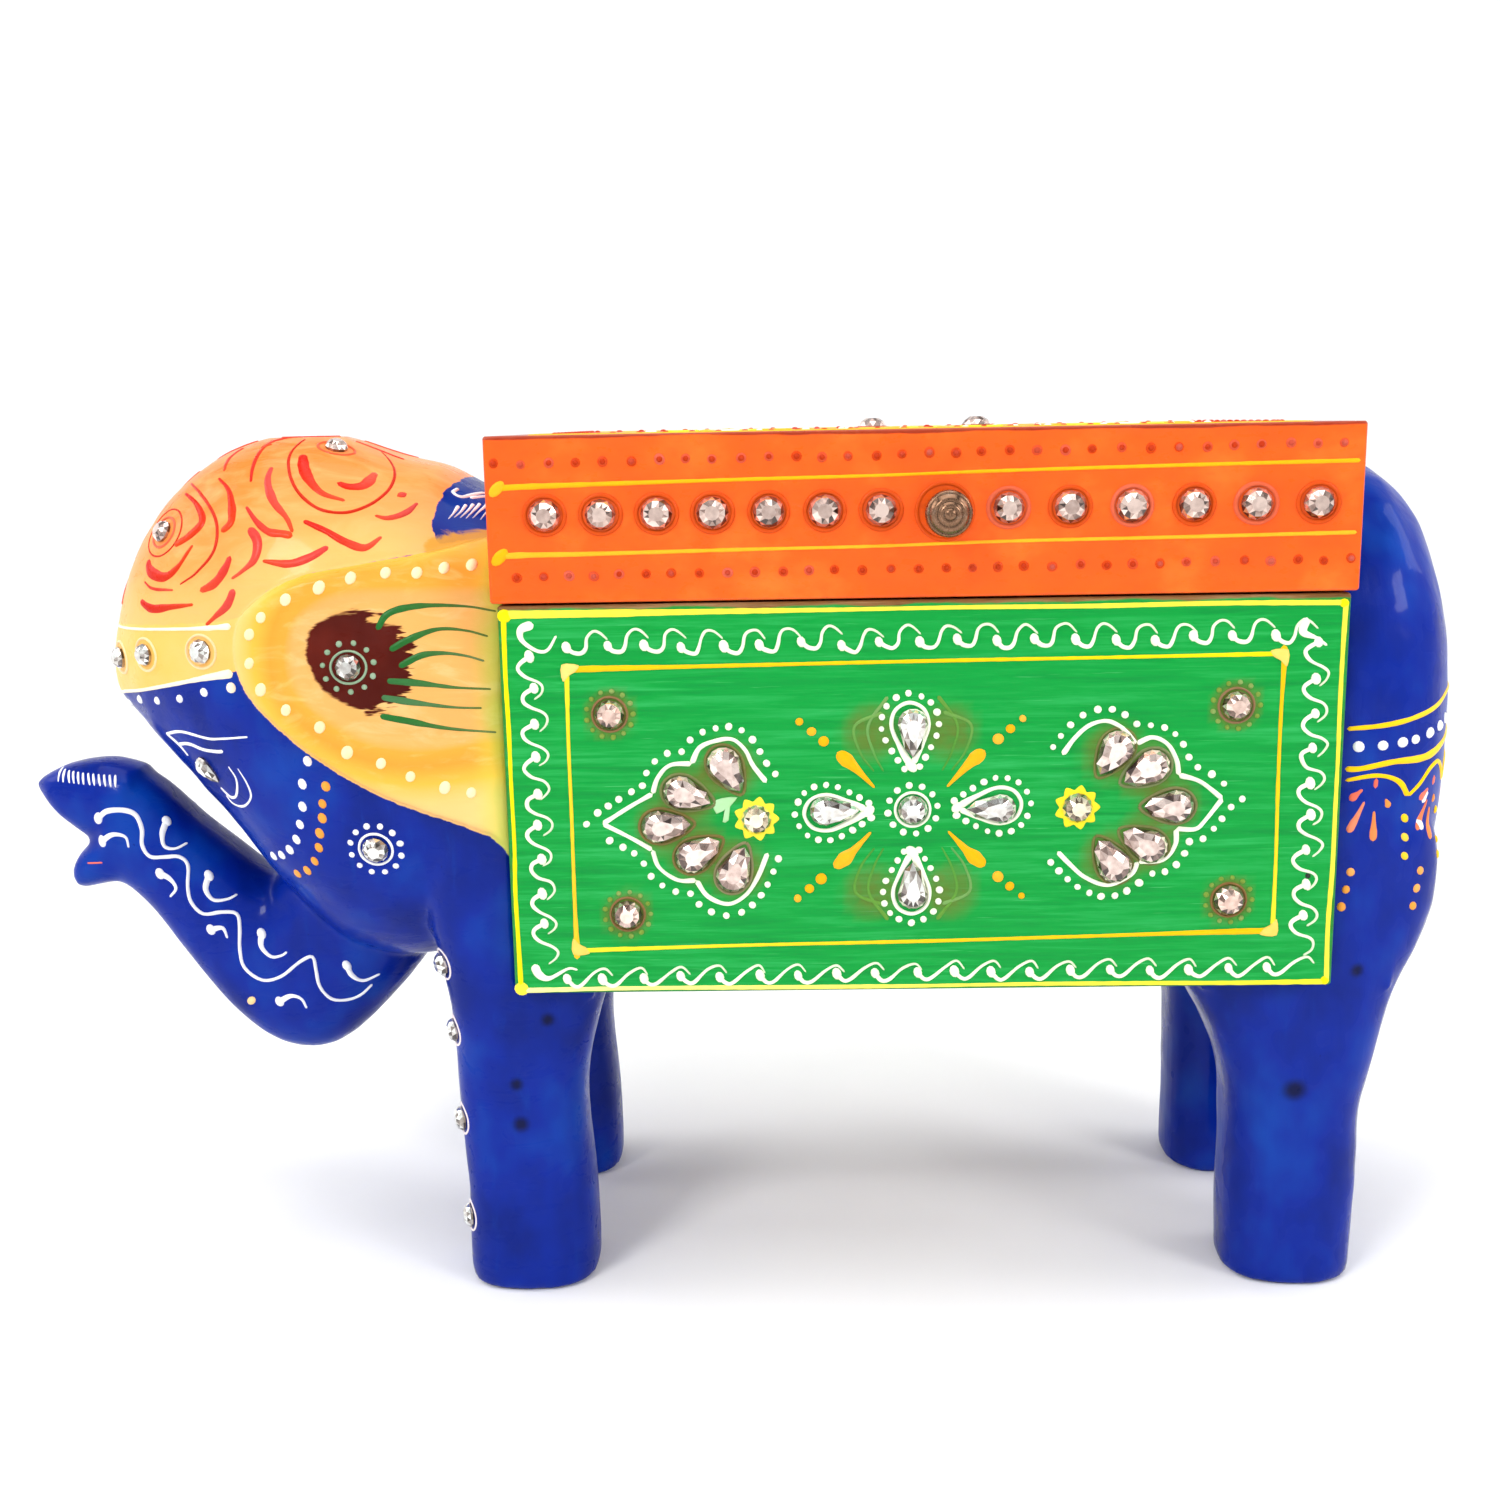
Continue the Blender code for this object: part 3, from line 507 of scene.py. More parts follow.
class Skin:
    """Closed skins gathered as points and faces in mm."""

    def __init__(self):
        self.points, self.faces = [], []

    def add(self, points, faces):
        start = len(self.points)
        self.points += [Vector(p) for p in points]
        self.faces += [tuple(start + k for k in face) for face in faces]

    def loft(self, stations, around=56, square=2.5):
        """A closed skin through superellipse sections: (centre, up, side half-widths)."""
        start = len(self.points)
        for centre, up, side in stations:
            for k in range(around):
                turn = 2 * pi * k / around
                c, s = cos(turn), sin(turn)
                u = copysign(abs(c) ** (2 / square), c)
                v = copysign(abs(s) ** (2 / square), s)
                self.points.append(Vector(centre) + Vector(side) * u + Vector(up) * v)
        last = len(stations) - 1
        for j in range(last):
            for k in range(around):
                a, b = start + j * around + k, start + j * around + (k + 1) % around
                self.faces.append((a, b, b + around, a + around))
        self.faces.append(tuple(start + k for k in range(around))[::-1])
        self.faces.append(tuple(start + last * around + k for k in range(around)))

    def turned(self, profile, origin, axis, around=40, closed=False):
        """(radius, height) pairs spun about axis through origin."""
        axis = Vector(axis).normalized()
        side = axis.orthogonal().normalized()
        other = axis.cross(side)
        start = len(self.points)
        for radius, height in profile:
            for k in range(around):
                a = 2 * pi * k / around
                self.points.append(Vector(origin) + axis * height
                                   + (side * cos(a) + other * sin(a)) * radius)
        rings = len(profile)
        for j in range(rings if closed else rings - 1):
            for k in range(around):
                a, b = start + j * around + k, start + j * around + (k + 1) % around
                step = ((j + 1) % rings - j) * around
                self.faces.append((a, b, b + step, a + step))
        if not closed:
            self.faces.append(tuple(start + k for k in range(around))[::-1])
            self.faces.append(tuple(start + (rings - 1) * around + k for k in range(around)))

    def outward(self):
        """Turns all faces to look outwards."""
        bm = bmesh.new()
        verts = [bm.verts.new(p) for p in self.points]
        for face in self.faces:
            bm.faces.new([verts[k] for k in face])
        bmesh.ops.recalc_face_normals(bm, faces=bm.faces)
        bm.verts.index_update()
        self.faces = [tuple(v.index for v in face.verts) for face in bm.faces]
        bm.free()
        return self


def marks(low, high, rounding, step):
    """Where a board's skin is divided along one axis, closer at its rounded ends."""
    close = [rounding * share for share in (0.0, 0.3, 0.65, 1.0)]
    inner = max(1, round((high - low - 2 * rounding) / step))
    even = [low + rounding + (high - low - 2 * rounding) * k / inner for k in range(1, inner)]
    return [low + c for c in close] + even + [high - c for c in reversed(close)]


def board_skin(box, rounding=0.55, step=2.2):
    """The skin of a board with rounded edges: points in mm and faces."""
    x0, x1, y0, y1, z0, z1 = box
    cuts = [marks(x0, x1, rounding, step), marks(y0, y1, rounding, step), marks(z0, z1, rounding, step)]
    low = Vector((x0 + rounding, y0 + rounding, z0 + rounding))
    high = Vector((x1 - rounding, y1 - rounding, z1 - rounding))
    index, points, faces = {}, [], []

    def corner(key):
        if key not in index:
            spot = Vector([cuts[axis][key[axis]] for axis in range(3)])
            core = Vector([min(max(spot[a], low[a]), high[a]) for a in range(3)])
            push = spot - core
            if push.length > 1e-9:
                spot = core + push.normalized() * rounding
            index[key] = len(points)
            points.append(spot)
        return index[key]

    for axis in range(3):
        a, b = [k for k in range(3) if k != axis]
        for end in (0, len(cuts[axis]) - 1):
            for i in range(len(cuts[a]) - 1):
                for j in range(len(cuts[b]) - 1):
                    ring = []
                    for di, dj in ((0, 0), (1, 0), (1, 1), (0, 1)):
                        key = [0, 0, 0]
                        key[axis], key[a], key[b] = end, i + di, j + dj
                        ring.append(corner(tuple(key)))
                    turned = (end == 0) == (axis != 1)
                    faces.append(tuple(ring[::-1] if turned else ring))
    return points, faces


def painted_board(name, node, finish, body, face=None, step=2.2, halos=(), sag=0.12, outer=()):
    """A board with rounded edges.  face is (axis, sign) of its painted side; halos are
    (x, z, reach, strength) stains on it, and outer gives the levels (axis, mm) that the
    paint also runs over."""
    box = limits(node)
    points, faces = board_skin(box, step=step)
    spots = np.array(points)
    axis, sign = face or (2, 1)
    level = box[2 * axis + (sign > 0)]
    depth = np.abs(spots[:, axis] - level)
    for a, at in outer:
        depth = np.minimum(depth, np.abs(spots[:, a] - at))
    across = [a for a in range(3) if a != axis]
    edge = np.min([np.minimum(spots[:, a] - box[2 * a], box[2 * a + 1] - spots[:, a]) for a in across], axis=0)
    # Hand-planed faces are never quite flat: they sink a little here and there.
    for k, p in enumerate(points):
        dip = sag * (0.5 + 0.5 * noise.noise(p * 0.09))
        for a in range(3):
            middle = (box[2 * a] + box[2 * a + 1]) / 2
            if abs(abs(p[a] - middle) - (box[2 * a + 1] - middle)) < 1e-6:
                p[a] += copysign(dip, middle - p[a])
    obj = piece(name, points, faces, finish, body, True, (node,))
    note(obj, "depth", depth)
    note(obj, "edge", edge)
    note(obj, "upright", np.full(len(points), 0.0 if axis == 2 else 1.0))
    stain = np.zeros(len(points))
    for x, z, reach, strength in halos:
        far = np.hypot(spots[:, 0] - x, spots[:, across[1]] - z)
        stain = np.maximum(stain, strength * (1 - ease(far, reach * 0.45, reach)))
    note(obj, "halo", stain * (depth < 1.5))
    return obj


# ---- surfaces that paint and stones are laid on -------------------------------------------
class FlatFace:
    """A flat side of a board.  A place is (x, z) on a side, or (x, y) on a top."""

    def __init__(self, axis, level, out):
        self.axis, self.level = axis, level
        self.out = Vector([out if k == axis else 0.0 for k in range(3)])

    def find(self, place):
        if len(place) == 3:
            return self.settle(Vector(place))
        point = Vector((place[0], self.level, place[1])) if self.axis == 1 else \
            Vector((place[0], place[1], self.level))
        return point, self.out

    def settle(self, point):
        point = point.copy()
        point[self.axis] = self.level
        return point, self.out


class CarvedFace:
    """One side of a carved skin.  A place is (x, z) seen from that side, or a point
    (x, y, z) near the skin given for the -Y side."""

    def __init__(self, tree, side=-1):
        self.tree, self.side = tree, side

    def find(self, place):
        if len(place) == 3:
            return self.settle(Vector((place[0], -self.side * place[1], place[2])))
        start = Vector((place[0], self.side * 200.0, place[1]))
        point, normal, _, _ = self.tree.ray_cast(start, Vector((0, -self.side, 0)))
        if point is None:
            return self.settle(Vector((place[0], self.side * 12.0, place[1])))
        return point, normal

    def settle(self, point):
        spot, normal, _, _ = self.tree.find_nearest(point)
        return spot, normal


class PaintWork:
    """Raised strokes, dots and blobs of paint laid on its face, gathered into one piece."""

    def __init__(self, seed, face=None):
        self.face = face
        self.points, self.faces, self.colours = [], [], []
        self.chance = random.Random(seed)

    def stroke(self, path, widths, colour, height=0.34, tail=None, per=6, closed=False):
        """A bead of paint along a smooth path; widths (mm) spread evenly along it."""
        rough = [Vector(self.face.find(tuple(p))[0]) for p in smooth_rows(path, per, closed)]
        if closed:
            rough.append(rough[0].copy())
        lengths = [0.0]
        for a, b in zip(rough, rough[1:]):
            lengths.append(lengths[-1] + (b - a).length)
        total = lengths[-1]
        step = max(0.22, min(widths) * 0.45)
        count = max(4, int(total / step))
        spine = []
        for k in range(count + 1):
            at = total * k / count
            j = max(i for i in range(len(lengths)) if lengths[i] <= at + 1e-9)
            j = min(j, len(rough) - 2)
            span = lengths[j + 1] - lengths[j]
            spine.append(rough[j].lerp(rough[j + 1], (at - lengths[j]) / span if span else 0.0))
        start = len(self.points)
        tone = self.tone(colour)
        far_tone = self.tone(tail) if tail is not None else tone
        across = (-1.0, -0.6, 0.0, 0.6, 1.0)
        drift = self.chance.random() * 50
        for k, point in enumerate(spine):
            spot, out = self.face.settle(point)
            ahead = (spine[min(k + 1, count)] - spine[max(k - 1, 0)]).normalized()
            side = out.cross(ahead).normalized()
            at = k / count * (len(widths) - 1)
            i = min(int(at), len(widths) - 2) if len(widths) > 1 else 0
            half = (widths[i] + (widths[min(i + 1, len(widths) - 1)] - widths[i]) * (at - i)) / 2
            half *= 1 + 0.14 * noise.noise(Vector((drift, total * k / count * 0.55, 0)))
            end = 1.0
            if not closed:
                near = min(total * k / count, total * (count - k) / count) / max(half, 0.1)
                end = sqrt(max(0.0, min(1.0, near) * (2 - min(1.0, near))))
            for a in across:
                rim, normal = self.face.settle(spot + side * half * a * max(end, 0.05))
                rise = height * min(1.0, half / 0.35) * end * (1 - abs(a) ** 2.2)
                self.points.append(rim + normal * (rise - 0.16 * (abs(a) == 1.0) - 0.02))
                share = k / count
                self.colours.append((*mixed(tone, far_tone, share * share), 1.0))
        wide = len(across)
        for k in range(count):
            for a in range(wide - 1):
                i = start + k * wide + a
                self.faces.append((i, i + wide, i + wide + 1, i + 1))

    def dot(self, at, across, colour, height=None, long=1.0, turn=None):
        """A domed dot of paint; long stretches it along turn (degrees)."""
        spot, out = self.face.find(tuple(at))
        side = out.orthogonal().normalized()
        other = out.cross(side)
        radius = across / 2 * self.chance.uniform(0.9, 1.08)
        height = (height if height is not None else radius * 0.62)
        angle = radians(turn if turn is not None else self.chance.uniform(0, 180))
        oval = long * self.chance.uniform(1.0, 1.12)
        start = len(self.points)
        tone = self.tone(colour)
        around = 12 if across > 1.6 else 10
        for share, rise in ((1.0, -0.16), (0.92, 0.3), (0.6, 0.82)):
            for k in range(around):
                a = 2 * pi * k / around
                u, v = cos(a) * radius * share * oval, sin(a) * radius * share
                x = u * cos(angle) - v * sin(angle)
                y = u * sin(angle) + v * cos(angle)
                rim, normal = self.face.settle(spot + side * x + other * y)
                lift = rise * height if rise > 0 else rise
                self.points.append(rim + normal * lift)
        self.points.append(spot + out * height)
        for j in range(2):
            for k in range(around):
                a, b = start + j * around + k, start + j * around + (k + 1) % around
                self.faces.append((a, b, b + around, a + around))
        top = start + 3 * around
        for k in range(around):
            self.faces.append((start + 2 * around + k, start + 2 * around + (k + 1) % around, top))
        self.colours += [(*tone, 1.0)] * (3 * around + 1)

    def blob(self, outline, colour, height=0.22, per=4):
        """A filled patch of paint with a rounded rim, from a closed outline of places."""
        rim = smooth_rows(outline, per, True)
        middle = np.mean(rim, axis=0)
        start = len(self.points)
        tone = self.tone(colour)
        shares = ((1.0, -0.16), (0.95, 0.6), (0.82, 1.0), (0.4, 1.0))
        for share, rise in shares:
            for p in rim:
                spot, out = self.face.find(tuple(middle + (p - middle) * share))
                self.points.append(spot + out * (rise * height if rise > 0 else rise))
        spot, out = self.face.find(tuple(middle))
        self.points.append(spot + out * height)
        n = len(rim)
        made = []
        for j in range(len(shares) - 1):
            for k in range(n):
                a, b = start + j * n + k, start + j * n + (k + 1) % n
                made.append((a, b, b + n, a + n))
        for k in range(n):
            last = start + (len(shares) - 1) * n
            made.append((last + k, last + (k + 1) % n, start + len(shares) * n))
        a, b, c = (self.points[k] for k in made[-1])
        if (b - a).cross(c - a).dot(out) < 0:
            made = [face[::-1] for face in made]
        self.faces += made
        self.colours += [(*tone, 1.0)] * (len(shares) * n + 1)

    def tone(self, colour):
        """The colour as the brush last picked it up: a little lighter or darker."""
        shift = self.chance.uniform(-0.06, 0.06)
        return mixed(colour, (1, 1, 1) if shift > 0 else (0, 0, 0), abs(shift))

    def ring(self, at, radius, width, colour, height=0.3, oval=1.0):
        """A closed bead round a stone."""
        turns = [2 * pi * k / 10 for k in range(10)]
        path = [(cos(a) * radius * oval, sin(a) * radius) for a in turns]
        self.stroke(on_skin(self.face, at, path), (width,), colour, height, None, 4, True)

    def piece(self, name, body, colours):
        obj = piece(name, self.points, self.faces, finish_of("paint", colours), body)
        note(obj, "paint", self.colours, "FLOAT_COLOR")
        return obj


def on_skin(face, at, offsets):
    """Places round a centre: offsets are (across, up) in the plane that the skin has there."""
    spot, out = face.find(tuple(at))
    up = Vector((0, 0, 1)) if abs(out.z) < 0.9 else Vector((0, 1, 0))
    side = up.cross(out).normalized()
    rise = out.cross(side)
    made = []
    for across, height in offsets:
        p = spot + side * across + rise * height
        if isinstance(face, CarvedFace):
            p.y *= -face.side
        made.append(tuple(p))
    return made


class StoneWork:
    """Foil-backed stones gathered into one piece. Each facet carries a painted reflection: a brightness of its own,
    lighter on higher facets as if lit from above and darker on the girdle as painted shade.
    """

    def __init__(self, seed):
        self.points, self.faces, self.facets, self.foils = [], [], [], []
        self.chance = random.Random(seed)

    def outline(self, size, drop, turn):
        """Girdle points (across, up); a drop is size wide and drop long, its tip at turn."""
        if not drop:
            return [(cos(a) * size / 2, sin(a) * size / 2)
                    for a in (2 * pi * k / 12 for k in range(12))]
        tail = drop - size
        shape = [(cos(a) * size / 2 - tail / 2, sin(a) * size / 2)
                 for a in (radians(60 + 26.7 * k) for k in range(10))]
        shape += [(size * 0.46 + tail * 0.12, -size * 0.27), (drop / 2, 0.0),
                  (size * 0.46 + tail * 0.12, size * 0.27)]
        c, s = cos(turn), sin(turn)
        return [(u * c - v * s, u * s + v * c) for u, v in shape]

    def stone(self, face, at, size, height, foil=(1, 1, 1), drop=None, turn=0.0, lift=0.0):
        spot, out = face.find(tuple(at))
        up = Vector((0, 0, 1)) if abs(out.z) < 0.9 else Vector((0, 1, 0))
        side = up.cross(out).normalized()
        rise = out.cross(side)
        girdle = self.outline(size, drop, turn)
        n = len(girdle)
        between = [((a[0] + b[0]) / 2, (a[1] + b[1]) / 2) for a, b in zip(girdle, girdle[1:] + girdle[:1])]
        core = Vector((0, 0))
        if drop:
            core = Vector((-cos(turn), -sin(turn))) * (drop - size) * 0.3
        start = len(self.points)
        for shape, share, level in ((girdle, 0.97, -0.1), (girdle, 1.0, 0.22), (between, 0.84, 0.66), (girdle, 0.46, 1.0)):
            for u, v in shape:
                p = core + (Vector((u, v)) - core) * share
                self.points.append(spot + side * p.x + rise * p.y + out * (level * height + lift))
        made = []
        for k in range(n):
            j = (k + 1) % n
            b, c, d = start + n, start + 2 * n, start + 3 * n
            made.append((start + k, start + j, b + j, b + k))
            made.append((b + k, b + j, c + k))
            made.append((b + j, c + j, c + k))
            made.append((d + k, c + (k - 1) % n, c + k))
            made.append((c + k, d + j, d + k))
        made.append(tuple(start + 3 * n + k for k in range(n)))
        self.faces += made
        sheen = self.chance.uniform(0.9, 1.08)
        # Painted reflections and shade: each facet gets a random brightness, raised on higher facets as if lit from
        # above, with the girdle sides darkened to 0.55 as painted shade. The table gets a middling one.
        for k, corners in enumerate(made):
            lit_from_above = sum(self.points[i].z - spot.z for i in corners) / len(corners) / size
            rim = 0.55 if k % 5 == 0 else 1.0
            self.facets.append(rim * min(1.0, max(0.0, self.chance.betavariate(1.1, 1.0) + 0.35 * lit_from_above)))
            self.foils.append((*(c * sheen for c in foil), 1.0))
        self.facets[-1] = self.chance.uniform(0.55, 0.85)

    def piece(self, name, body, colours, replaces=()):
        obj = piece(name, self.points, self.faces, finish_of("glass", colours), body, False, replaces)
        note(obj, "facet", self.facets, "FLOAT", "FACE")
        note(obj, "foil", self.foils, "FLOAT_COLOR", "FACE")
        return obj


# ---- the carver's work ------------------------------------------------------------------
carved = {}
LEG_SETBACK, LEG_DEPTH, LEG_RADIUS = 5.2, 20.6, 11.2
FORE_LEG_X, HIND_LEG_X = -HALF - 0.8, HALF - 1.4
LEG_Y = SIDE - LEG_SETBACK - LEG_DEPTH / 2
CHEEK = SIDE - 3.6
SHELF_TOP = BOX_BOTTOM + 7.0
# Sections of head, trunk, lips, rump and tail: distances from the end of the box and
# heights above its underside.
HEAD = ((73.2, 46.4, 53, .12), (72.2, 44, 57.5, .26), (68, 39.8, 69.6, .43), (63.4, 34.8, 76.6, .58),
        (57.2, 28, 83, .71), (50, 19.4, 87.6, .82), (41.4, 8, 90, .91), (32, -.6, 89.6, .97), (22, -2.5, 86.2, 1),
        (14, -1.5, 84.2, 1), (7, 0, 80.4, 1), (-2, 1, 77, 1))
TRUNK = ((40, 28, 18, 16, 14), (46.5, 14, 20, -.5, 13.5), (48.2, 11.5, 29, -12.5, 13), (48.6, 11, 39, -20.8, 12.5),
         (49.8, 11.4, 48.6, -20.8, 11.5), (52.6, 13, 57.2, -14.2, 10.9), (57, 16.8, 65.2, -3.6, 10.1),
         (63, 22, 71, 4.8, 9.1), (69, 28.2, 76.4, 9.8, 8.3), (75, 32.4, 80.6, 10, 7.7))
UPPER_LIP = ((72, 31.4, 77.6, 16.5, 7.7), (78.2, 33, 81.6, 18.2, 7.1), (84.6, 32.3, 84.8, 20.6, 6.3),
             (88.6, 30.8, 87.6, 23.2, 5.1), (91.4, 29.2, 91, 27.4, 2.3))
LOWER_LIP = ((75, 22, 75.8, 10.6, 7.5), (80, 19.4, 80.8, 9.8, 7.1), (83.6, 16.6, 84.4, 9.2, 6.1), (85.2, 14.2, 85.4, 10.8, 4.5))
EAR = ((-.8, 25), (3.5, 25.6), (18, 31), (29, 37), (38, 44), (42.8, 49.5), (44.4, 55.5), (43, 61.5), (38, 65.6),
       (31.3, 68.2), (15.4, 70.6), (3.5, 73.2), (-.8, 74))
EAR_HOLLOW = ((-6, 42.6), (2.3, 42.6), (13.5, 41.2), (23, 42.9), (31, 48.5), (33.5, 54), (32, 60.4), (25.7, 64),
              (16, 64.2), (2, 63.8), (-6, 63.8))
EAR_PATCH = ((14.6, 52), (16.4, 47.2), (21, 46.6), (27.2, 48.8), (31, 53.4), (31, 58.6), (27, 61.8), (20.5, 61.6), (15.4, 58))
CAP_EDGE = ((90, 58.4), (72, 58.6), (65, 59.2), (46, 60.6), (42, 61.7), (38, 65.6), (31.3, 68.2), (15.4, 70.6), (3.5, 73.2),
            (-4, 74.4))
WITHERS = ((11.2, 72.2), (12.4, 76), (11.6, 80), (9.6, 83), (8.8, 110), (-8, 110), (-8, 74), (4, 73))
WITHERS_HEM = ((12.6, 70.8), (12.8, 73.4), (8, 74), (-8, 75.4), (-8, 72.2), (4, 71.2))
BAND_LOW = ((85, 44.6), (72, 46.2), (67, 47.3), (58, 49.4), (45, 52.4), (41, 53.6))
FORE_FLARE = ((0, 0, -1.2), (.03, 0, 0), (.28, 0, -.1), (.55, -.9, -.2), (.71, -.6, .3), (.87, .4, 1.6), (1, .7, 3),
              (1.25, -1.4, 3.2), (1.57, -.6, 1.6), (1.68, 0, -2))
RUMP = ((-4, -1, 83.5, 1), (9, -2, 82.8, .99), (13.6, -1, 80.4, .95), (16.8, 1.5, 77.2, .89), (19.4, 5.5, 72.2, .8),
        (21.6, 11, 66, .68), (23.2, 19, 59, .54), (24.4, 28, 53, .36), (25, 33, 48, .17))
TAIL = ((22, 61, 1.8, 1.4), (23.4, 55, 2.3, 3.1), (24.4, 47, 2.5, 4.8), (24.9, 38, 2.5, 5.6), (24.7, 28, 2.4, 5.4),
        (23.6, 19, 2.4, 5.2), (22, 12, 3.3, 4.8), (19.8, 5, 3.6, 4.5), (18, 0, 1.2, 2.8))
HIND_FLARE = ((0, 0, -1.2), (.03, 0, -.2), (.32, 0, 0), (.52, 0, .1), (.65, .2, 1), (.78, -.2, 3), (.9, -1.2, 5.6),
              (1, -1.6, 8.3), (1.18, .4, 10.2), (1.39, 1, 9.4), (1.54, 1, 4))


def ahead(distance, height):
    """A place (x, z) in front of the head end of the box."""
    return -HALF - distance, BOX_BOTTOM + height


def upright(table, end):
    """Sections across the body; end is -1 towards the head and 1 towards the rump."""
    return [((end * (HALF + d), 0, BOX_BOTTOM + (lo + hi) / 2), (0, 0, (hi - lo) / 2), (0, CHEEK * w, 0))
            for d, lo, hi, w in smooth_rows(table, 3)]


def between(table):
    """Sections between an upper and a lower point of the trunk's outline."""
    out = []
    for ux, uz, lx, lz, w in smooth_rows(table, 3):
        (ux, uz), (lx, lz) = ahead(ux, uz), ahead(lx, lz)
        out.append((((ux + lx) / 2, 0, (uz + lz) / 2), ((ux - lx) / 2, 0, (uz - lz) / 2), (0, w, 0)))
    return out


def add_leg(skin, centre_x, side, flare):
    """A slim post that widens into the body; flare is (height over BOX_BOTTOM, shift, growth)."""
    stations = []
    for height, shift, grow in smooth_rows(flare, 3):
        stations.append(((centre_x + shift, side * LEG_Y, height * BOX_BOTTOM),
                         (LEG_RADIUS + grow, 0, 0), (0, LEG_DEPTH / 2 + min(grow, 1.5), 0)))
    skin.loft(stations, 48, 2.7)


def add_block(skin, x0, x1, y0, y1, z0, z1):
    corners = [(x, y, z) for x in (x0, x1) for y in (y0, y1) for z in (z0, z1)]
    skin.add(corners, ((0, 1, 3, 2), (4, 6, 7, 5), (0, 4, 5, 1), (2, 3, 7, 6), (0, 2, 6, 4), (1, 5, 7, 3)))


def rooms_to_cut():
    """The room of the box with its shelf left standing, and the room of the lid."""
    reach, lip = SIDE + 20, INNER - GAP
    low, high, top = BOX_BOTTOM - GAP, SHELF_TOP, SEAM + 4
    stepped = ((-reach, low), (-lip, low), (-lip, high), (lip, high), (lip, low), (reach, low), (reach, top), (-reach, top))
    box_room = Skin()
    n = len(stepped)
    for x in (-HALF - GAP, HALF + GAP):
        box_room.points += [Vector((x, y, z)) for y, z in stepped]
    box_room.faces = [tuple(range(n))[::-1], tuple(range(n, 2 * n))]
    box_room.faces += [(k, (k + 1) % n, (k + 1) % n + n, k + n) for k in range(n)]
    lid_room = Skin()
    over = LID_HALF + 0.8
    add_block(lid_room, -over, over, -reach - 1, reach + 1, SEAM - GAP, LID_TOP + 30)
    return box_room.outward(), lid_room.outward()


def carve(name, skin, step):
    """Joins closed skins into one, cuts the rooms of box and lid out of it and evens its
    mesh.  Gives points in mm and faces."""
    def block(label, part):
        mesh = bpy.data.meshes.new(label)
        mesh.from_pydata([tuple(p) for p in part.points], [], part.faces)
        made = bpy.data.objects.new(label, mesh)
        bpy.context.scene.collection.objects.link(made)
        return made

    body = block(name, skin.outward())
    rooms = [block(f"{name}_room_{k}", room) for k, room in enumerate(rooms_to_cut())]
    first = body.modifiers.new("Join", "REMESH")
    first.mode, first.voxel_size = "VOXEL", step
    for room in rooms:
        cut = body.modifiers.new("Cut", "BOOLEAN")
        cut.operation, cut.solver, cut.object = "DIFFERENCE", "MANIFOLD", room
    second = body.modifiers.new("Even", "REMESH")
    second.mode, second.voxel_size = "VOXEL", step
    sanded = body.modifiers.new("Sand", "SMOOTH")
    sanded.factor, sanded.iterations = 0.5, 4
    bpy.context.view_layer.update()
    graph = bpy.context.evaluated_depsgraph_get()
    mesh = bpy.data.meshes.new_from_object(body.evaluated_get(graph))
    points = np.empty(len(mesh.vertices) * 3, np.float32)
    mesh.vertices.foreach_get("co", points)
    normals = np.empty(len(mesh.vertices) * 3, np.float32)
    mesh.vertices.foreach_get("normal", normals)
    faces = [tuple(p.vertices) for p in mesh.polygons]
    for obj in (body, *rooms):
        bpy.data.objects.remove(obj, do_unlink=True)
    if len(points) < 3000:
        raise RuntimeError(f"{name} came out empty")
    return points.reshape(-1, 3).astype(float), normals.reshape(-1, 3).astype(float), faces


def tool_marks(points, depth):
    """Shallow facets and waves that the chisel and the sandpaper leave."""
    return np.array([depth * (noise.noise(Vector(p) * 0.085) * 0.7 + noise.noise(Vector(p) * 0.21) * 0.3)
                     for p in points])


def knots(points, places):
    """How close each point lies to a knot (x, z, radius) of the wood."""
    close = np.zeros(len(points))
    for x, z, radius in places:
        close = np.maximum(close, 2 - np.hypot(points[:, 0] - x, points[:, 2] - z) / radius)
    return np.maximum(close, 0) * (points[:, 1] < 0)


def keep_inside(points, node):
    box = limits(node)
    return np.clip(points, (box[0], box[2], box[4]), (box[1], box[3], box[5]))


def chosen(context):
    """The sizes and the colours that the maker set."""
    return context.scene.elephant_sizes, context.scene.elephant_colours


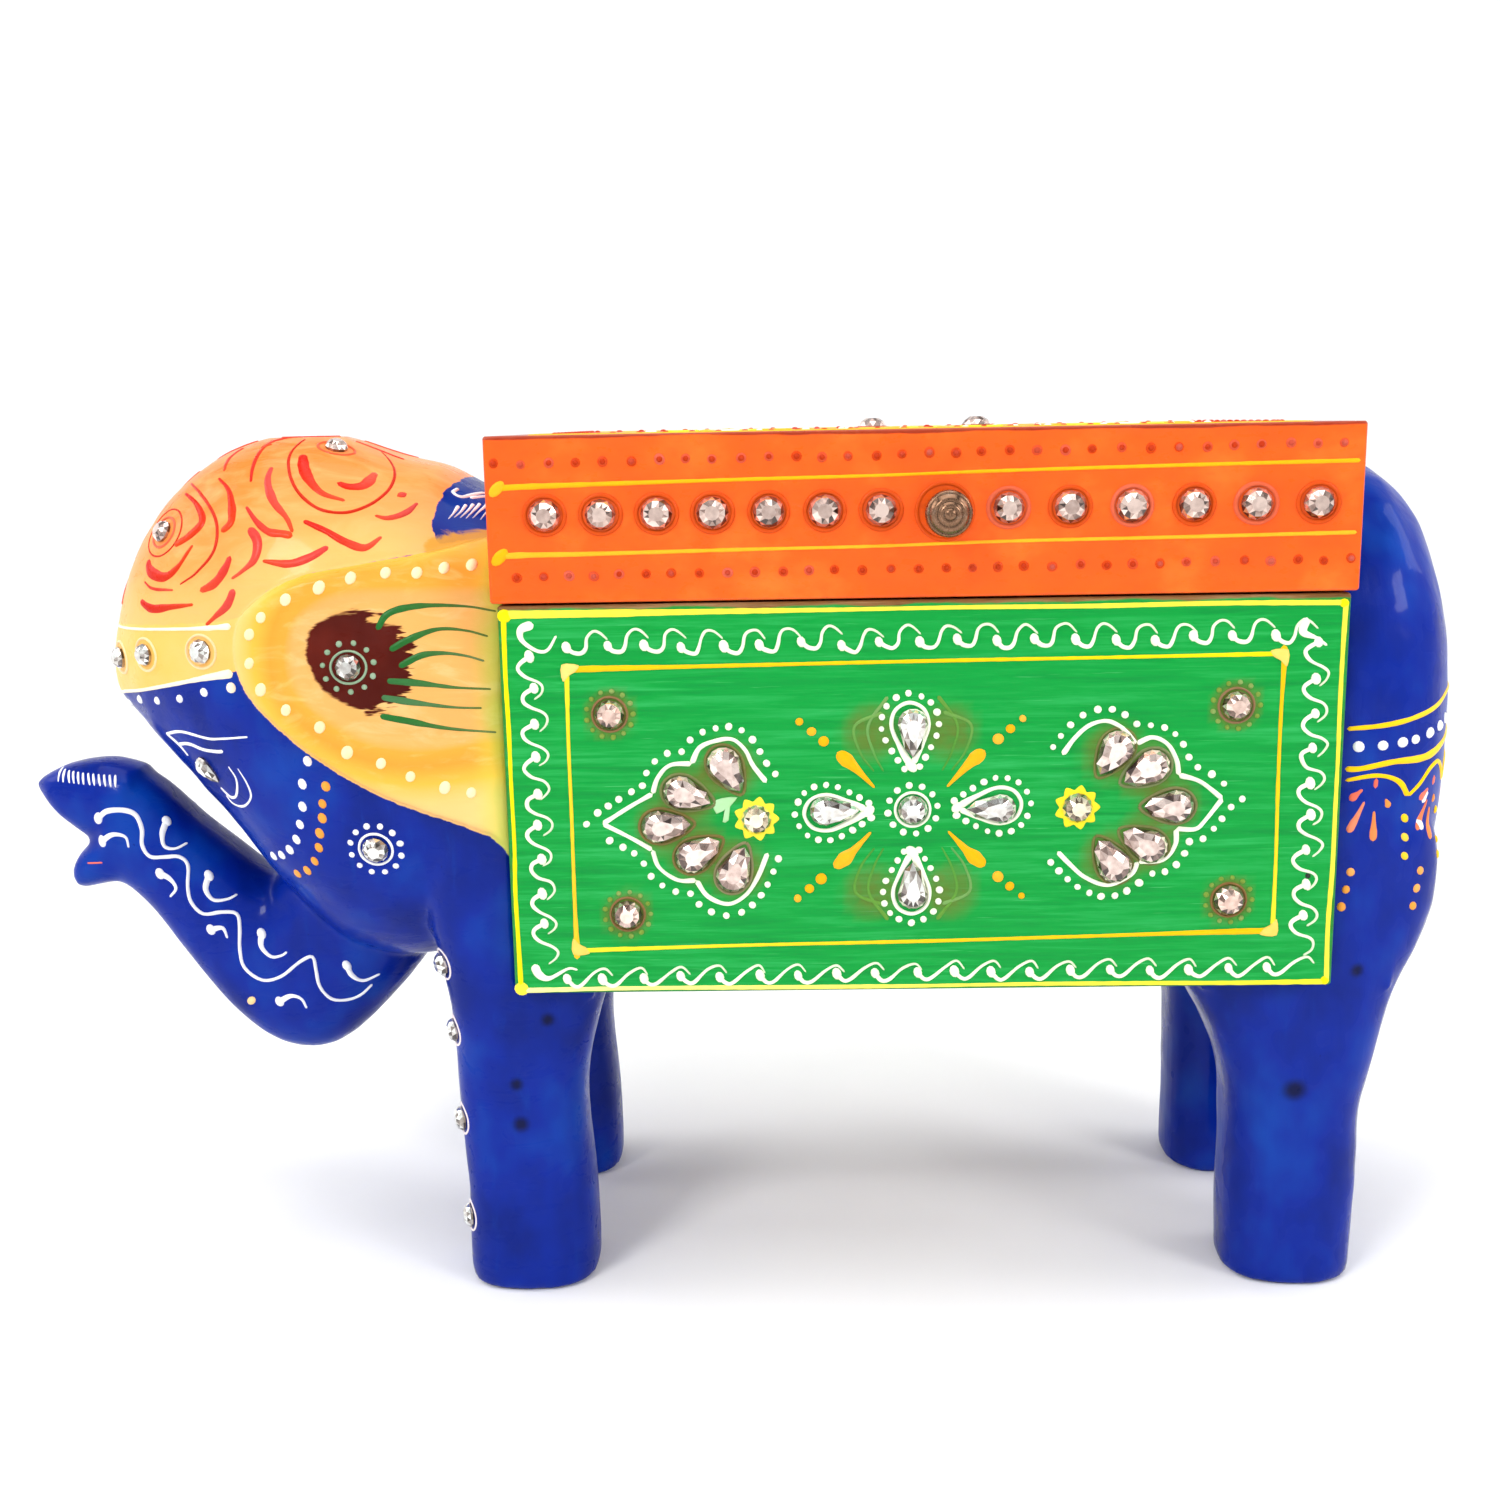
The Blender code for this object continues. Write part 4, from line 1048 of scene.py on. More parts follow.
class ELEPHANT_OT_carve_head(Operator):
    """Carves the head with its ears, trunk and forelegs and enamels it"""
    bl_idname = "elephant.carve_head"
    bl_label = "Carve Head"

    def execute(self, context):
        sizes, colours = chosen(context)
        skin = Skin()
        skin.loft(upright(HEAD, -1), 64, 2.45)
        skin.loft(between(TRUNK), 48, 2.6)
        skin.loft(between(UPPER_LIP), 40, 2.6)
        skin.loft(between(LOWER_LIP), 40, 2.6)
        for side in (-1, 1):
            add_leg(skin, FORE_LEG_X, side, FORE_FLARE)
        shelf = INNER - GAP - 0.6
        add_block(skin, -HALF - 8, FORE_LEG_X + LEG_RADIUS + 1.8, -shelf, shelf, BOX_BOTTOM - 3, SHELF_TOP + 3)
        points, normals, faces = carve("carved_head_skin", skin, sizes.skin_step / MM)
        spots = points[:, (0, 2)]
        ear, hollow, patch = (into_outline(spots, smooth_rows([ahead(*p) for p in outline], 4, True))
                              for outline in (EAR, EAR_HOLLOW, EAR_PATCH))
        on_side = ease(np.abs(points[:, 1]), 6, 12)
        lift = (sizes.ear_relief * ease(ear, 0, 1.5) - sizes.ear_hollow * ease(hollow, -2.2, 1.5)) / MM
        behind = ease(points[:, 0], -HALF - 0.6, -HALF - 0.2)
        lift = (lift + tool_marks(points, sizes.tool_marks / MM)) * on_side * (1 - behind)
        points = keep_inside(points + normals * lift[:, None], "carved_head")
        obj = piece("carved_head_enamelled", points, faces, finish_of("head", colours), "elephant",
                    True, ("carved_head",))
        for name, values in (("ear", ear), ("ear_hollow", hollow), ("ear_patch", patch)):
            note(obj, name, values)
        for name, outline in (("cap", (*CAP_EDGE, (-4, 110), (90, 110))), ("band", (*BAND_LOW, (41, 64), (90, 62))),
                              ("withers", WITHERS), ("withers_hem", WITHERS_HEM)):
            note(obj, name, into_outline(spots, [ahead(*p) for p in outline]))
        note(obj, "knot", knots(points, ((-67.4, 38.2, 0.9), (-67, 30.9, 1.1), (-61.5, 50, 0.9))))
        carved["head"] = BVHTree.FromPolygons([Vector(p) for p in points], faces)
        return {"FINISHED"}


class ELEPHANT_OT_carve_rump(Operator):
    """Carves the rump with its tail and hind legs and enamels it blue"""
    bl_idname = "elephant.carve_rump"
    bl_label = "Carve Rump"

    def execute(self, context):
        sizes, colours = chosen(context)
        skin = Skin()
        skin.loft(upright(RUMP, 1), 64, 2.45)
        for side in (-1, 1):
            add_leg(skin, HIND_LEG_X, side, HIND_FLARE)
        tail = [((HALF + d, 0, BOX_BOTTOM + z), (thick, 0, 0.2), (0, w, 0)) for d, z, w, thick in smooth_rows(TAIL, 3)]
        skin.loft(tail, 24, 2.2)
        shelf = INNER - GAP - 0.6
        add_block(skin, HIND_LEG_X - LEG_RADIUS - 6.8, HALF + 12, -shelf, shelf, BOX_BOTTOM - 3, SHELF_TOP + 3)
        points, normals, faces = carve("carved_rump_skin", skin, sizes.skin_step / MM)
        near_box = ease(points[:, 0], HALF + 0.2, HALF + 0.8)
        free = np.where(points[:, 2] < BOX_BOTTOM - 1, 1.0, near_box)
        lift = tool_marks(points, sizes.tool_marks / MM) * free
        points = keep_inside(points + normals * lift[:, None], "carved_rump")
        obj = piece("carved_rump_enamelled", points, faces, finish_of("blue", colours), "elephant",
                    True, ("carved_rump",))
        note(obj, "knot", knots(points, ((62.3, 36.3, 1.5), (71.5, 57, 0.9))))
        carved["rump"] = BVHTree.FromPolygons([Vector(p) for p in points], faces)
        return {"FINISHED"}


# ---- the joiner's work ------------------------------------------------------------------
def centre_of(node):
    box = limits(node)
    return (box[0] + box[1]) / 2, (box[2] + box[3]) / 2, (box[4] + box[5]) / 2


def spot_of(node):
    """The middle of a node as (x, z)."""
    return centre_of(node)[::2]


def nodes_named(*starts):
    return sorted(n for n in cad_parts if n.startswith(starts))


class ELEPHANT_OT_make_panels(Operator):
    """Makes the two side panels, brushed green outside and bare inside"""
    bl_idname = "elephant.make_panels"
    bl_label = "Make Side Panels"

    def execute(self, context):
        colours = context.scene.elephant_colours
        halos = [(*spot_of(node), 4.6, 0.8) for node in nodes_named("corner_stone")]
        halos += [(*spot_of(node), 6.0, 0.6) for node in nodes_named("fan_") if not node.endswith("_0")]
        cx, cz = spot_of("centre_stone")
        for across, up in ((-6.5, 12.5), (5.5, 12.5), (-6.5, -13.5), (5.8, -13.5)):
            halos.append((cx + across, cz + up, 5.6, 0.5))
        for name, node, sign in (("green_panel_front", "side_panel_front", -1), ("green_panel_back", "side_panel_back", 1)):
            painted_board(name, node, finish_of("green", colours), "elephant", (1, sign), 1.5, halos,
                          outer=((0, -HALF), (0, HALF), (2, BOX_BOTTOM)))
        return {"FINISHED"}


class ELEPHANT_OT_make_lid(Operator):
    """Makes the boards of the lid, orange outside and bare inside"""
    bl_idname = "elephant.make_lid"
    bl_label = "Make Lid"

    def execute(self, context):
        orange = finish_of("orange", context.scene.elephant_colours)
        halos = [(*spot_of(node), 4.4, 0.45) for node in nodes_named("lid_stone")] + [(*spot_of("knob"), 7.0, 0.4)]
        skin = ((0, -LID_HALF), (0, LID_HALF), (1, -LID_FACE), (1, SIDE), (2, LID_TOP))
        for name, node, face, step, stains in (
                ("lid_front_rail", "lid_front", (1, -1), 1.6, halos), ("lid_back_rail", "lid_back", (1, 1), 1.6, halos[:-1]),
                ("lid_head_rail", "lid_end_head", (0, -1), 2.2, ()), ("lid_rump_rail", "lid_end_rump", (0, 1), 2.2, ()),
                ("lid_top_panel", "lid_top", (2, 1), 2.2, ())):
            painted_board(name, node, orange, "lid", face, step, stains, outer=skin)
        return {"FINISHED"}


class ELEPHANT_OT_make_inner_boards(Operator):
    """Makes the floor and the end walls of the box from bare wood"""
    bl_idname = "elephant.make_inner_boards"
    bl_label = "Make Inner Boards"

    def execute(self, context):
        wood = finish_of("wood", context.scene.elephant_colours)
        for node in ("floor_board", "end_wall_head", "end_wall_rump"):
            painted_board(node + "_planed", node, wood, "elephant", None, 4.0)
        return {"FINISHED"}


class ELEPHANT_OT_turn_knob(Operator):
    """Turns the knob with its grooves and the screw behind it"""
    bl_idname = "elephant.turn_knob"
    bl_label = "Turn Knob"

    def execute(self, context):
        colours = context.scene.elephant_colours
        x0, x1, y0, y1, z0, z1 = limits("knob")
        at = ((x0 + x1) / 2, y1, (z0 + z1) / 2)
        radius, reach = (x1 - x0) / 2, y1 - y0
        shape = ((0.82, 0), (0.84, 0.05), (0.8, 0.11), (0.6, 0.17), (0.48, 0.25), (0.46, 0.36), (0.55, 0.44), (0.78, 0.52),
                 (0.92, 0.59), (0.995, 0.66), (1.0, 0.72), (0.985, 0.76), (0.93, 0.80), (0.87, 0.815), (0.85, 0.80), (0.82, 0.825),
                 (0.7, 0.88), (0.56, 0.915), (0.53, 0.9), (0.5, 0.92), (0.4, 0.95), (0.3, 0.965), (0.27, 0.95), (0.24, 0.965),
                 (0.2, 0.99), (0.12, 1.0), (0.04, 1.0))
        skin = Skin()
        skin.turned([(r * radius, h * reach) for r, h in shape], at, (0, -1, 0), 56)
        skin.outward()
        obj = piece("turned_knob", skin.points, skin.faces, finish_of("nickel", colours), "lid", True, ("knob",))
        # Points on the three turned grooves, which the metal finish darkens as painted shade.
        grooves = [1.0 if min(abs(hypot(p[0] - at[0], p[2] - at[2]) / radius - r) for r in (0.27, 0.53, 0.85)) < 0.012 else 0.0
                   for p in skin.points]
        note(obj, "groove_shade", grooves)
        x0, x1, y0, y1, z0, z1 = limits("knob_stud")
        head = (x1 - x0) / 2
        stud = Skin()
        stud.turned(((head * 0.3, 0.0), (head * 0.75, 0.1), (head, 0.5), (head, 1.1), (head * 0.85, 1.35), (head * 0.84, 1.9),
                     (head * 0.5, 1.95), (head * 0.5, y1 - y0 - 0.3), (head * 0.4, y1 - y0)), ((x0 + x1) / 2, y1, (z0 + z1) / 2),
                    (0, -1, 0), 32)
        stud.outward()
        piece("knob_screw", stud.points, stud.faces, finish_of("brass", colours), "lid", True, ("knob_stud",))
        return {"FINISHED"}


class ELEPHANT_OT_fit_hinges(Operator):
    """Rolls, drills and nails the two brass hinges"""
    bl_idname = "elephant.fit_hinges"
    bl_label = "Fit Hinges"

    def execute(self, context):
        brass = finish_of("brass", context.scene.elephant_colours)
        for tag in ("head", "rump"):
            px0, px1, py0, py1, pz0, pz1 = limits(f"hinge_{tag}_pin")
            axis = Vector(((px0 + px1) / 2, (py0 + py1) / 2, (pz0 + pz1) / 2))
            pin_radius = (pz1 - pz0) / 2
            pin = Skin()
            half = (px1 - px0) / 2
            pin.turned(((pin_radius * 0.5, -half), (pin_radius, -half + 0.25), (pin_radius, half - 0.25), (pin_radius * 0.5, half)),
                       axis, (1, 0, 0), 24)
            pin.outward()
            piece(f"hinge_pin_{tag}", pin.points, pin.faces, brass, "elephant", True, (f"hinge_{tag}_pin",))
            for half_name, up, body in (("box", -1, "elephant"), ("lid", 1, "lid")):
                node = f"hinge_{tag}_{half_name}_leaf"
                x0, x1, y0, y1, z0, z1 = limits(node)
                leaf_end = z1 if up > 0 else z0
                roll = y1 - axis.y
                near_roll = axis.z + up * (roll + 0.35)
                plate = (x0, x1, y0, y0 + 0.9, *sorted((near_roll, leaf_end)))
                if up > 0:
                    width = px1 - px0 - 0.4
                    plate = (axis.x - width / 2, axis.x + width / 2, *plate[2:])
                skin = Skin()
                skin.add(*board_skin(plate, 0.3, 1.6))
                third = (px1 - px0 - 0.4) / 3
                if up > 0:
                    spans = ((axis.x - third / 2, axis.x + third / 2),)
                else:
                    spans = ((plate[0], plate[0] + third - 0.4), (plate[1] - third + 0.4, plate[1]))
                bore = pin_radius + 0.28
                for a, b in spans:
                    e = 0.12
                    ring = ((bore, a), (roll - e, a), (roll, a + e), (roll, b - e), (roll - e, b), (bore, b))
                    skin.turned(ring, (0, axis.y, axis.z), (1, 0, 0), 36, True)
                    tab = (a, b, y0, y0 + 0.9, *sorted((axis.z + up * 0.9, axis.z + up * (roll + 1.0))))
                    skin.add(*board_skin(tab, 0.12, 1.6))
                for sign in (-1, 1):
                    at = (axis.x + sign * (plate[1] - plate[0]) * 0.3, y0 + 0.75, leaf_end - up * 3.0)
                    skin.turned(((1.25, 0.0), (1.2, 0.25), (0.95, 0.5), (0.5, 0.66), (0.12, 0.7)), at, (0, 1, 0), 24)
                skin.outward()
                piece(f"hinge_{half_name}_leaf_{tag}", skin.points, skin.faces, brass, body, False, (node,))
        return {"FINISHED"}


# ---- the painter's work -----------------------------------------------------------------
ORANGE_DOT, ROSE, OCHRE = paint_pot(244, 160, 64), paint_pot(236, 112, 92), paint_pot(120, 150, 60)
VEIN, GLUE, STAINED_GLUE = paint_pot(34, 104, 44), paint_pot(104, 118, 62), paint_pot(132, 100, 58)
CLEAR_GLUE, LID_GLUE, BRICK = paint_pot(196, 214, 190), paint_pot(212, 78, 20), paint_pot(186, 52, 10)
LEFT_FAN = (
    (-24.5, 79.2), (-26.2, 75.1), (-28.2, 72.2), (-31.0, 70.8), (-34.2, 72.1), (-36.0, 74.8), None,
    (-39.0, 74.9), (-41.9, 77.0), (-42.9, 79.9), None, (-46.4, 82.0), (-50.7, 84.3), None, (-46.2, 87.1),
    (-42.6, 89.1), None, (-41.7, 91.7), (-39.7, 93.7), (-36.3, 93.9), None, (-34.9, 96.5), (-32.1, 97.6),
    (-29.7, 97.7), (-27.8, 96.0), (-26.6, 93.5), (-24.5, 90.7)
)
RIGHT_FAN = (
    (22.1, 94.5), (24.0, 97.2), (26.3, 99.2), (29.1, 99.8), (31.8, 98.3), (33.6, 96.1), None, (36.1, 97.1),
    (38.5, 96.0), (40.0, 93.4), (40.4, 91.0), None, (43.8, 89.9), (47.4, 87.1), None, (44.8, 83.6),
    (43.3, 82.2), (40.3, 82.3), None, (40.2, 79.6), (38.3, 77.2), (34.4, 77.0), None, (33.2, 74.8),
    (29.7, 73.2), (26.1, 74.5), (23.7, 76.6), (21.6, 78.8)
)
SIDE_CURL = ((0, 0), (-1.6, -1.0), (-1.8, -2.1), (-0.7, -3.2), (1.2, -4.0), (2.0, -5.0), (1.6, -6.1), (0.5, -7.0))
TOP_CURL = ((0, 0), (1.0, -0.9), (2.3, -1.1), (3.0, -0.2), (3.4, 1.6), (4.3, 2.5), (5.5, 2.3), (6.8, 1.1))
FOOT_CURL = ((0, 0), (1.1, -1.2), (2.3, -1.1), (4.6, 0.9), (6.6, 1.8), (7.9, 0.5))


def parts_of(path):
    """A path cut at each None, where the next part goes on from the last point."""
    made = [[]]
    for p in path:
        if p is None:
            made.append(made[-1][-1:])
        else:
            made[-1].append(p)
    return made


def dots_along(path, away, pitch, centre):
    """Places beside a path, on the side away from centre, this far apart."""
    line = []
    for part in parts_of(path):
        line += [Vector(p) for p in smooth_rows(part, 8)]
    offset = []
    for a, b in zip(line, line[1:]):
        run = b - a
        if run.length < 1e-6:
            continue
        out = Vector((run.y, -run.x)).normalized()
        if out.dot((a + b) / 2 - Vector(centre)) < 0:
            out = -out
        offset.append((a + b) / 2 + out * away)
    clear = [p for p in offset if min((p - q).length for q in line) > away * 0.82]
    places = [clear[0]]
    for p in clear:
        if (p - places[-1]).length >= pitch and min((p - q).length for q in places) > pitch * 0.8:
            places.append(p)
    return places


class PanelPainter:
    """The ornaments of one side panel.  Places are (x, z) seen from the -Y side."""

    def __init__(self, face, seed, sizes, colours):
        self.face, self.work, self.colours = face, PaintWork(seed, face), colours
        self.line, self.frame_line = sizes.fine_line / MM, sizes.frame_line / MM
        self.dot, self.high = sizes.dot_size / MM, sizes.bead_height / MM
        self.centre = Vector((centre_of("centre_stone")[0], centre_of("centre_stone")[2]))

    def jitter(self, size):
        return self.work.chance.uniform(-size, size)

    def frames(self):
        """Outer and inner yellow frames with their blobbed corners."""
        c, w, f = self.colours, self.work, self.frame_line
        left, right, top, low = -HALF + 0.9, HALF - 0.9, WALL_TOP - 1.4, BOX_BOTTOM + 0.65
        mid = (top + low) / 2
        corners = ((left, top), (right, top), (right, low), (left, low))
        inner = ((-55.6, 109.3), (56.0, 110.0), (56.2, 65.2), (-55.6, 63.3))
        for k in range(4):
            (ax, az), (bx, bz) = corners[k], corners[(k + 1) % 4]
            run = [(ax + (bx - ax) * t + self.jitter(0.12), az + (bz - az) * t + self.jitter(0.12))
                   for t in (0, 0.13, 0.27, 0.4, 0.55, 0.7, 0.85, 1)]
            pale = mixed(c.yellow, (0.9, 1, 0.55), 0.65) if k == 2 else None
            widths = [f * s for s in ((1.9, 1.5, 1.2, 0.9) if k == 0 else (1.2, 0.95, 1.0, 0.85)) + (0.95, 1.1, 1.0, 1.2)]
            w.stroke(run, widths, c.yellow, 0.16, pale)
            w.dot((ax + copysign(0.2, -ax), az + copysign(0.2, mid - az)), f * (2.6 if k in (0, 3) else 1.9), c.yellow, 0.2)
            (ax, az), (bx, bz) = inner[k], inner[(k + 1) % 4]
            over = 1.4 if k % 2 else 0.3
            length = hypot(bx - ax, bz - az)
            ux, uz = (bx - ax) / length, (bz - az) / length
            run = [(ax - ux * over + (bx + ux * 0.5 - ax) * t + self.jitter(0.1),
                    az - uz * over + (bz + uz * 0.5 - az) * t + self.jitter(0.1)) for t in (0, 0.05, 0.25, 0.5, 0.75, 1)]
            golden = mixed(c.yellow, c.amber, 0.75)
            w.stroke(run, [f * s for s in (1.5, 0.9, 0.8, 0.85, 0.8, 0.8, 1.1)], golden, 0.18, c.yellow)
            inx, inz = copysign(1.0, -ax), copysign(1.0, mid - az)
            blob = ((-0.7, -0.7), (-0.6, 2.0), (0.4, 1.1), (0.85, 0.8), (1.6, 0.35), (2.0, -0.6))
            w.blob([(ax + inx * u, az + inz * v) for u, v in blob], mixed(golden, (1, 1, 0.6), 0.2), 0.24, 3)

    def curl(self, at, shape, size=1.0):
        """One curl of the border: a round blob running out into a thin line."""
        w = self.work
        path = [(at[0] + x * size + self.jitter(0.12), at[1] + z * size + self.jitter(0.12)) for x, z in shape]
        thin = self.line
        w.stroke(path, [thin * s for s in (1.5, 1.35, 1.25, 1.0, 0.95, 0.8, 0.6)],
                 self.colours.cream, self.high, mixed(self.colours.cream, self.colours.green, 0.3))
        w.dot(path[0], thin * 2.6, self.colours.cream, 0.5, 1.25, 60)

    def border(self):
        sides = (-61.0, 61.2)
        for x in sides:
            for k in range(9):
                self.curl((x + self.jitter(0.4), 111.6 - 5.5 * k + self.jitter(0.3)), SIDE_CURL, 0.98)
        for k in range(19):
            self.curl((-55.5 + 6.1 * k + self.jitter(0.4), 112.7 + self.jitter(0.3)), TOP_CURL, 0.96)
        for k in range(19):
            self.curl((-57.7 + 6.3 * k + self.jitter(0.4), 58.6 + 0.03 * k + self.jitter(0.25)), FOOT_CURL, 0.96)
        w, cream, thin = self.work, self.colours.cream, self.line
        w.stroke(((-60.4, 116.4), (-62.4, 115.6), (-62.3, 113.9), (-60.2, 112.3), (-58.4, 112.3), (-56.9, 114.6)),
                 [thin * s for s in (3.2, 2.2, 1.4, 1.1, 0.9, 0.7)], cream, self.high)
        w.stroke(((-62.7, 61.0), (-62.0, 59.3), (-60.3, 58.6), (-57.2, 60.2), (-55.6, 60.0)),
                 [thin * s for s in (3.0, 2.6, 1.2, 0.9, 0.7)], cream, self.high)
        w.stroke(((59.3, 115.6), (58.8, 113.4), (60.9, 112.4), (62.6, 111.2)),
                 [thin * s for s in (3.0, 2.6, 1.1, 0.8)], cream, self.high)

    def stone_rings(self):
        """White rings and dots round the middle flower, and stained rings at the corners."""
        c, w, mid = self.colours, self.work, self.centre
        white = c.cream
        w.ring(mid, 2.75, 0.55, white, 0.3)
        for k in range(12):
            a = radians(30 * k + 8)
            w.dot((mid.x + 3.95 * cos(a), mid.y + 3.95 * sin(a)), self.dot, white)
        for turn in (0, 90, 180, 270):
            a = radians(turn + self.jitter(2))
            ux, uz = cos(a), sin(a)

            def at(along, across):
                return mid.x + ux * along - uz * across, mid.y + uz * along + ux * across

            outline = [at(7.4, 0.25), at(10.2, 1.7), at(13.4, 2.9), at(16.0, 2.3), at(17.2, 0.1), at(16.1, -2.2), at(13.4, -2.9),
                       at(10.2, -1.7), at(7.4, -0.25)]
            w.stroke(outline, (1.5, 0.85, 0.7, 0.7, 0.7, 0.75, 1.3), white, 0.34)
            w.dot(at(7.0, 0), 1.7, white, 0.5, 1.3, turn)
            rim = [at(6.6, 1.1), at(9.6, 3.0), at(13.2, 4.5), at(16.8, 3.6), at(18.7, 0.1), at(16.8, -3.6), at(13.2, -4.5),
                   at(9.6, -3.0), at(6.6, -1.1)]
            line = [Vector(p) for p in smooth_rows(rim, 10)]
            last = None
            for p in line:
                if last is None or (p - last).length > 1.72:
                    w.dot(p, self.dot * self.work.chance.uniform(0.85, 1.08), white)
                    last = p
        for node in nodes_named("corner_stone"):
            x, _, z = centre_of(node)
            w.ring((x, z), 2.75, 0.5, STAINED_GLUE, 0.26)
            for k in range(13):
                a = 2 * pi * k / 13
                w.dot((x + 3.7 * cos(a), z + 3.7 * sin(a)), 0.85, OCHRE, 0.16)

    def fans(self):
        """Scalloped outlines, dots, glue rims and flowers of the two fans."""
        c, w = self.colours, self.work
        for path, centre, tip in ((LEFT_FAN, (-33, 84), (-53.3, 84.3)), (RIGHT_FAN, (31, 86), (50.5, 87.0))):
            for part in parts_of(path):
                w.stroke(part, (1.0, 0.8, 0.72, 0.78, 0.95), c.cream, 0.36)
            for p in dots_along(path, 1.95, 1.95, centre) + [tip]:
                w.dot(p, self.dot * w.chance.uniform(0.88, 1.12), c.cream)
        for tag, sign in (("head", -1), ("rump", 1)):
            fx, _, fz = centre_of(f"fan_{tag}_stone_0")
            petals = []
            for k in range(36):
                a = 2 * pi * k / 36
                r = 3.3 + 0.4 * cos(9 * a)
                petals.append((fx + r * cos(a), fz + r * sin(a)))
            w.blob(petals, mixed(c.yellow, (0.9, 0.75, 0.1), 0.25), 0.2, 3)
            for k in range(1, 6):
                x, _, z = centre_of(f"fan_{tag}_stone_{k}")
                away = Vector((x - fx, z - fz)).normalized()
                side = Vector((-away.y, away.x))
                rim = [Vector((x, z)) + away * u + side * v for u, v in
                       ((-4.6, 0), (-2.2, 1.9), (0.8, 2.9), (3.3, 2.1), (4.3, 0), (3.3, -2.1), (0.8, -2.9), (-2.2, -1.9))]
                w.stroke([tuple(p) for p in rim], (0.62,), mixed(GLUE, STAINED_GLUE, 0.6 * w.chance.random()), 0.18, None, 5, True)
        if self.face.out.y < 0:
            w.dot((61.4, 74.3), 0.9, (0.01, 0.02, 0.01), 0.05)
            chip = ((-33.1, 87.5), (-31.6, 88.3), (-29.1, 88.4), (-30.3, 86.9), (-30.6, 84.6), (-31.6, 84.3), (-31.2, 86.3), (-32.6, 85.7))
            w.blob(chip, mixed(c.green, (0.7, 1, 0.6), 0.6), 0.1, 2)

    def accents(self):
        """Amber drops and dots on the diagonals, and faint ochre brush strokes."""
        c, w, mid = self.colours, self.work, self.centre
        for sx, sz, dx in ((-1, 1, 0.0), (1, 1, -0.6), (1, -1, -0.4), (-1, -1, 0.6)):
            drop = [(mid.x + sx * (11.9 + dx), mid.y + sz * 9.4), (mid.x + sx * (9.3 + dx), mid.y + sz * 7.1),
                    (mid.x + sx * (6.0 + dx), mid.y + sz * 3.6)]
            w.stroke(drop, (2.0, 2.7, 1.5, 0.8, 0.45), c.amber, 0.3)
            for k, size in enumerate((1.75, 1.45, 1.2)):
                w.dot((mid.x + sx * (14.0 + dx + 1.9 * k), mid.y + sz * (11.2 + 1.6 * k)), size, c.amber, 0.3)
            for bend, reach in ((0.0, 1.0), (2.1, 0.86)):
                stroke = [(mid.x + sx * (3.9 + bend * 0.4), mid.y + sz * 18.2 * reach), (mid.x + sx * (7.0 + bend), mid.y + sz * 13.6),
                          (mid.x + sx * (6.2 + bend), mid.y + sz * 9.4), (mid.x + sx * (4.6 + bend * 0.7), mid.y + sz * 6.2)]
                w.stroke(stroke, (0.8, 0.6, 0.5, 0.4), mixed(OCHRE, c.green, 0.35), 0.1, mixed(OCHRE, c.green, 0.7))

    def paint(self, name):
        self.frames()
        self.border()
        self.stone_rings()
        self.fans()
        self.accents()
        self.work.piece(name, "elephant", self.colours)


class ELEPHANT_OT_paint_panels(Operator):
    """Lays the raised paint of frames, curls, fans and flowers on both side panels"""
    bl_idname = "elephant.paint_panels"
    bl_label = "Paint Side Panels"

    def execute(self, context):
        sizes, colours = chosen(context)
        PanelPainter(FlatFace(1, -SIDE, -1), 11, sizes, colours).paint("panel_paint_front")
        PanelPainter(FlatFace(1, SIDE, 1), 12, sizes, colours).paint("panel_paint_back")
        return {"FINISHED"}


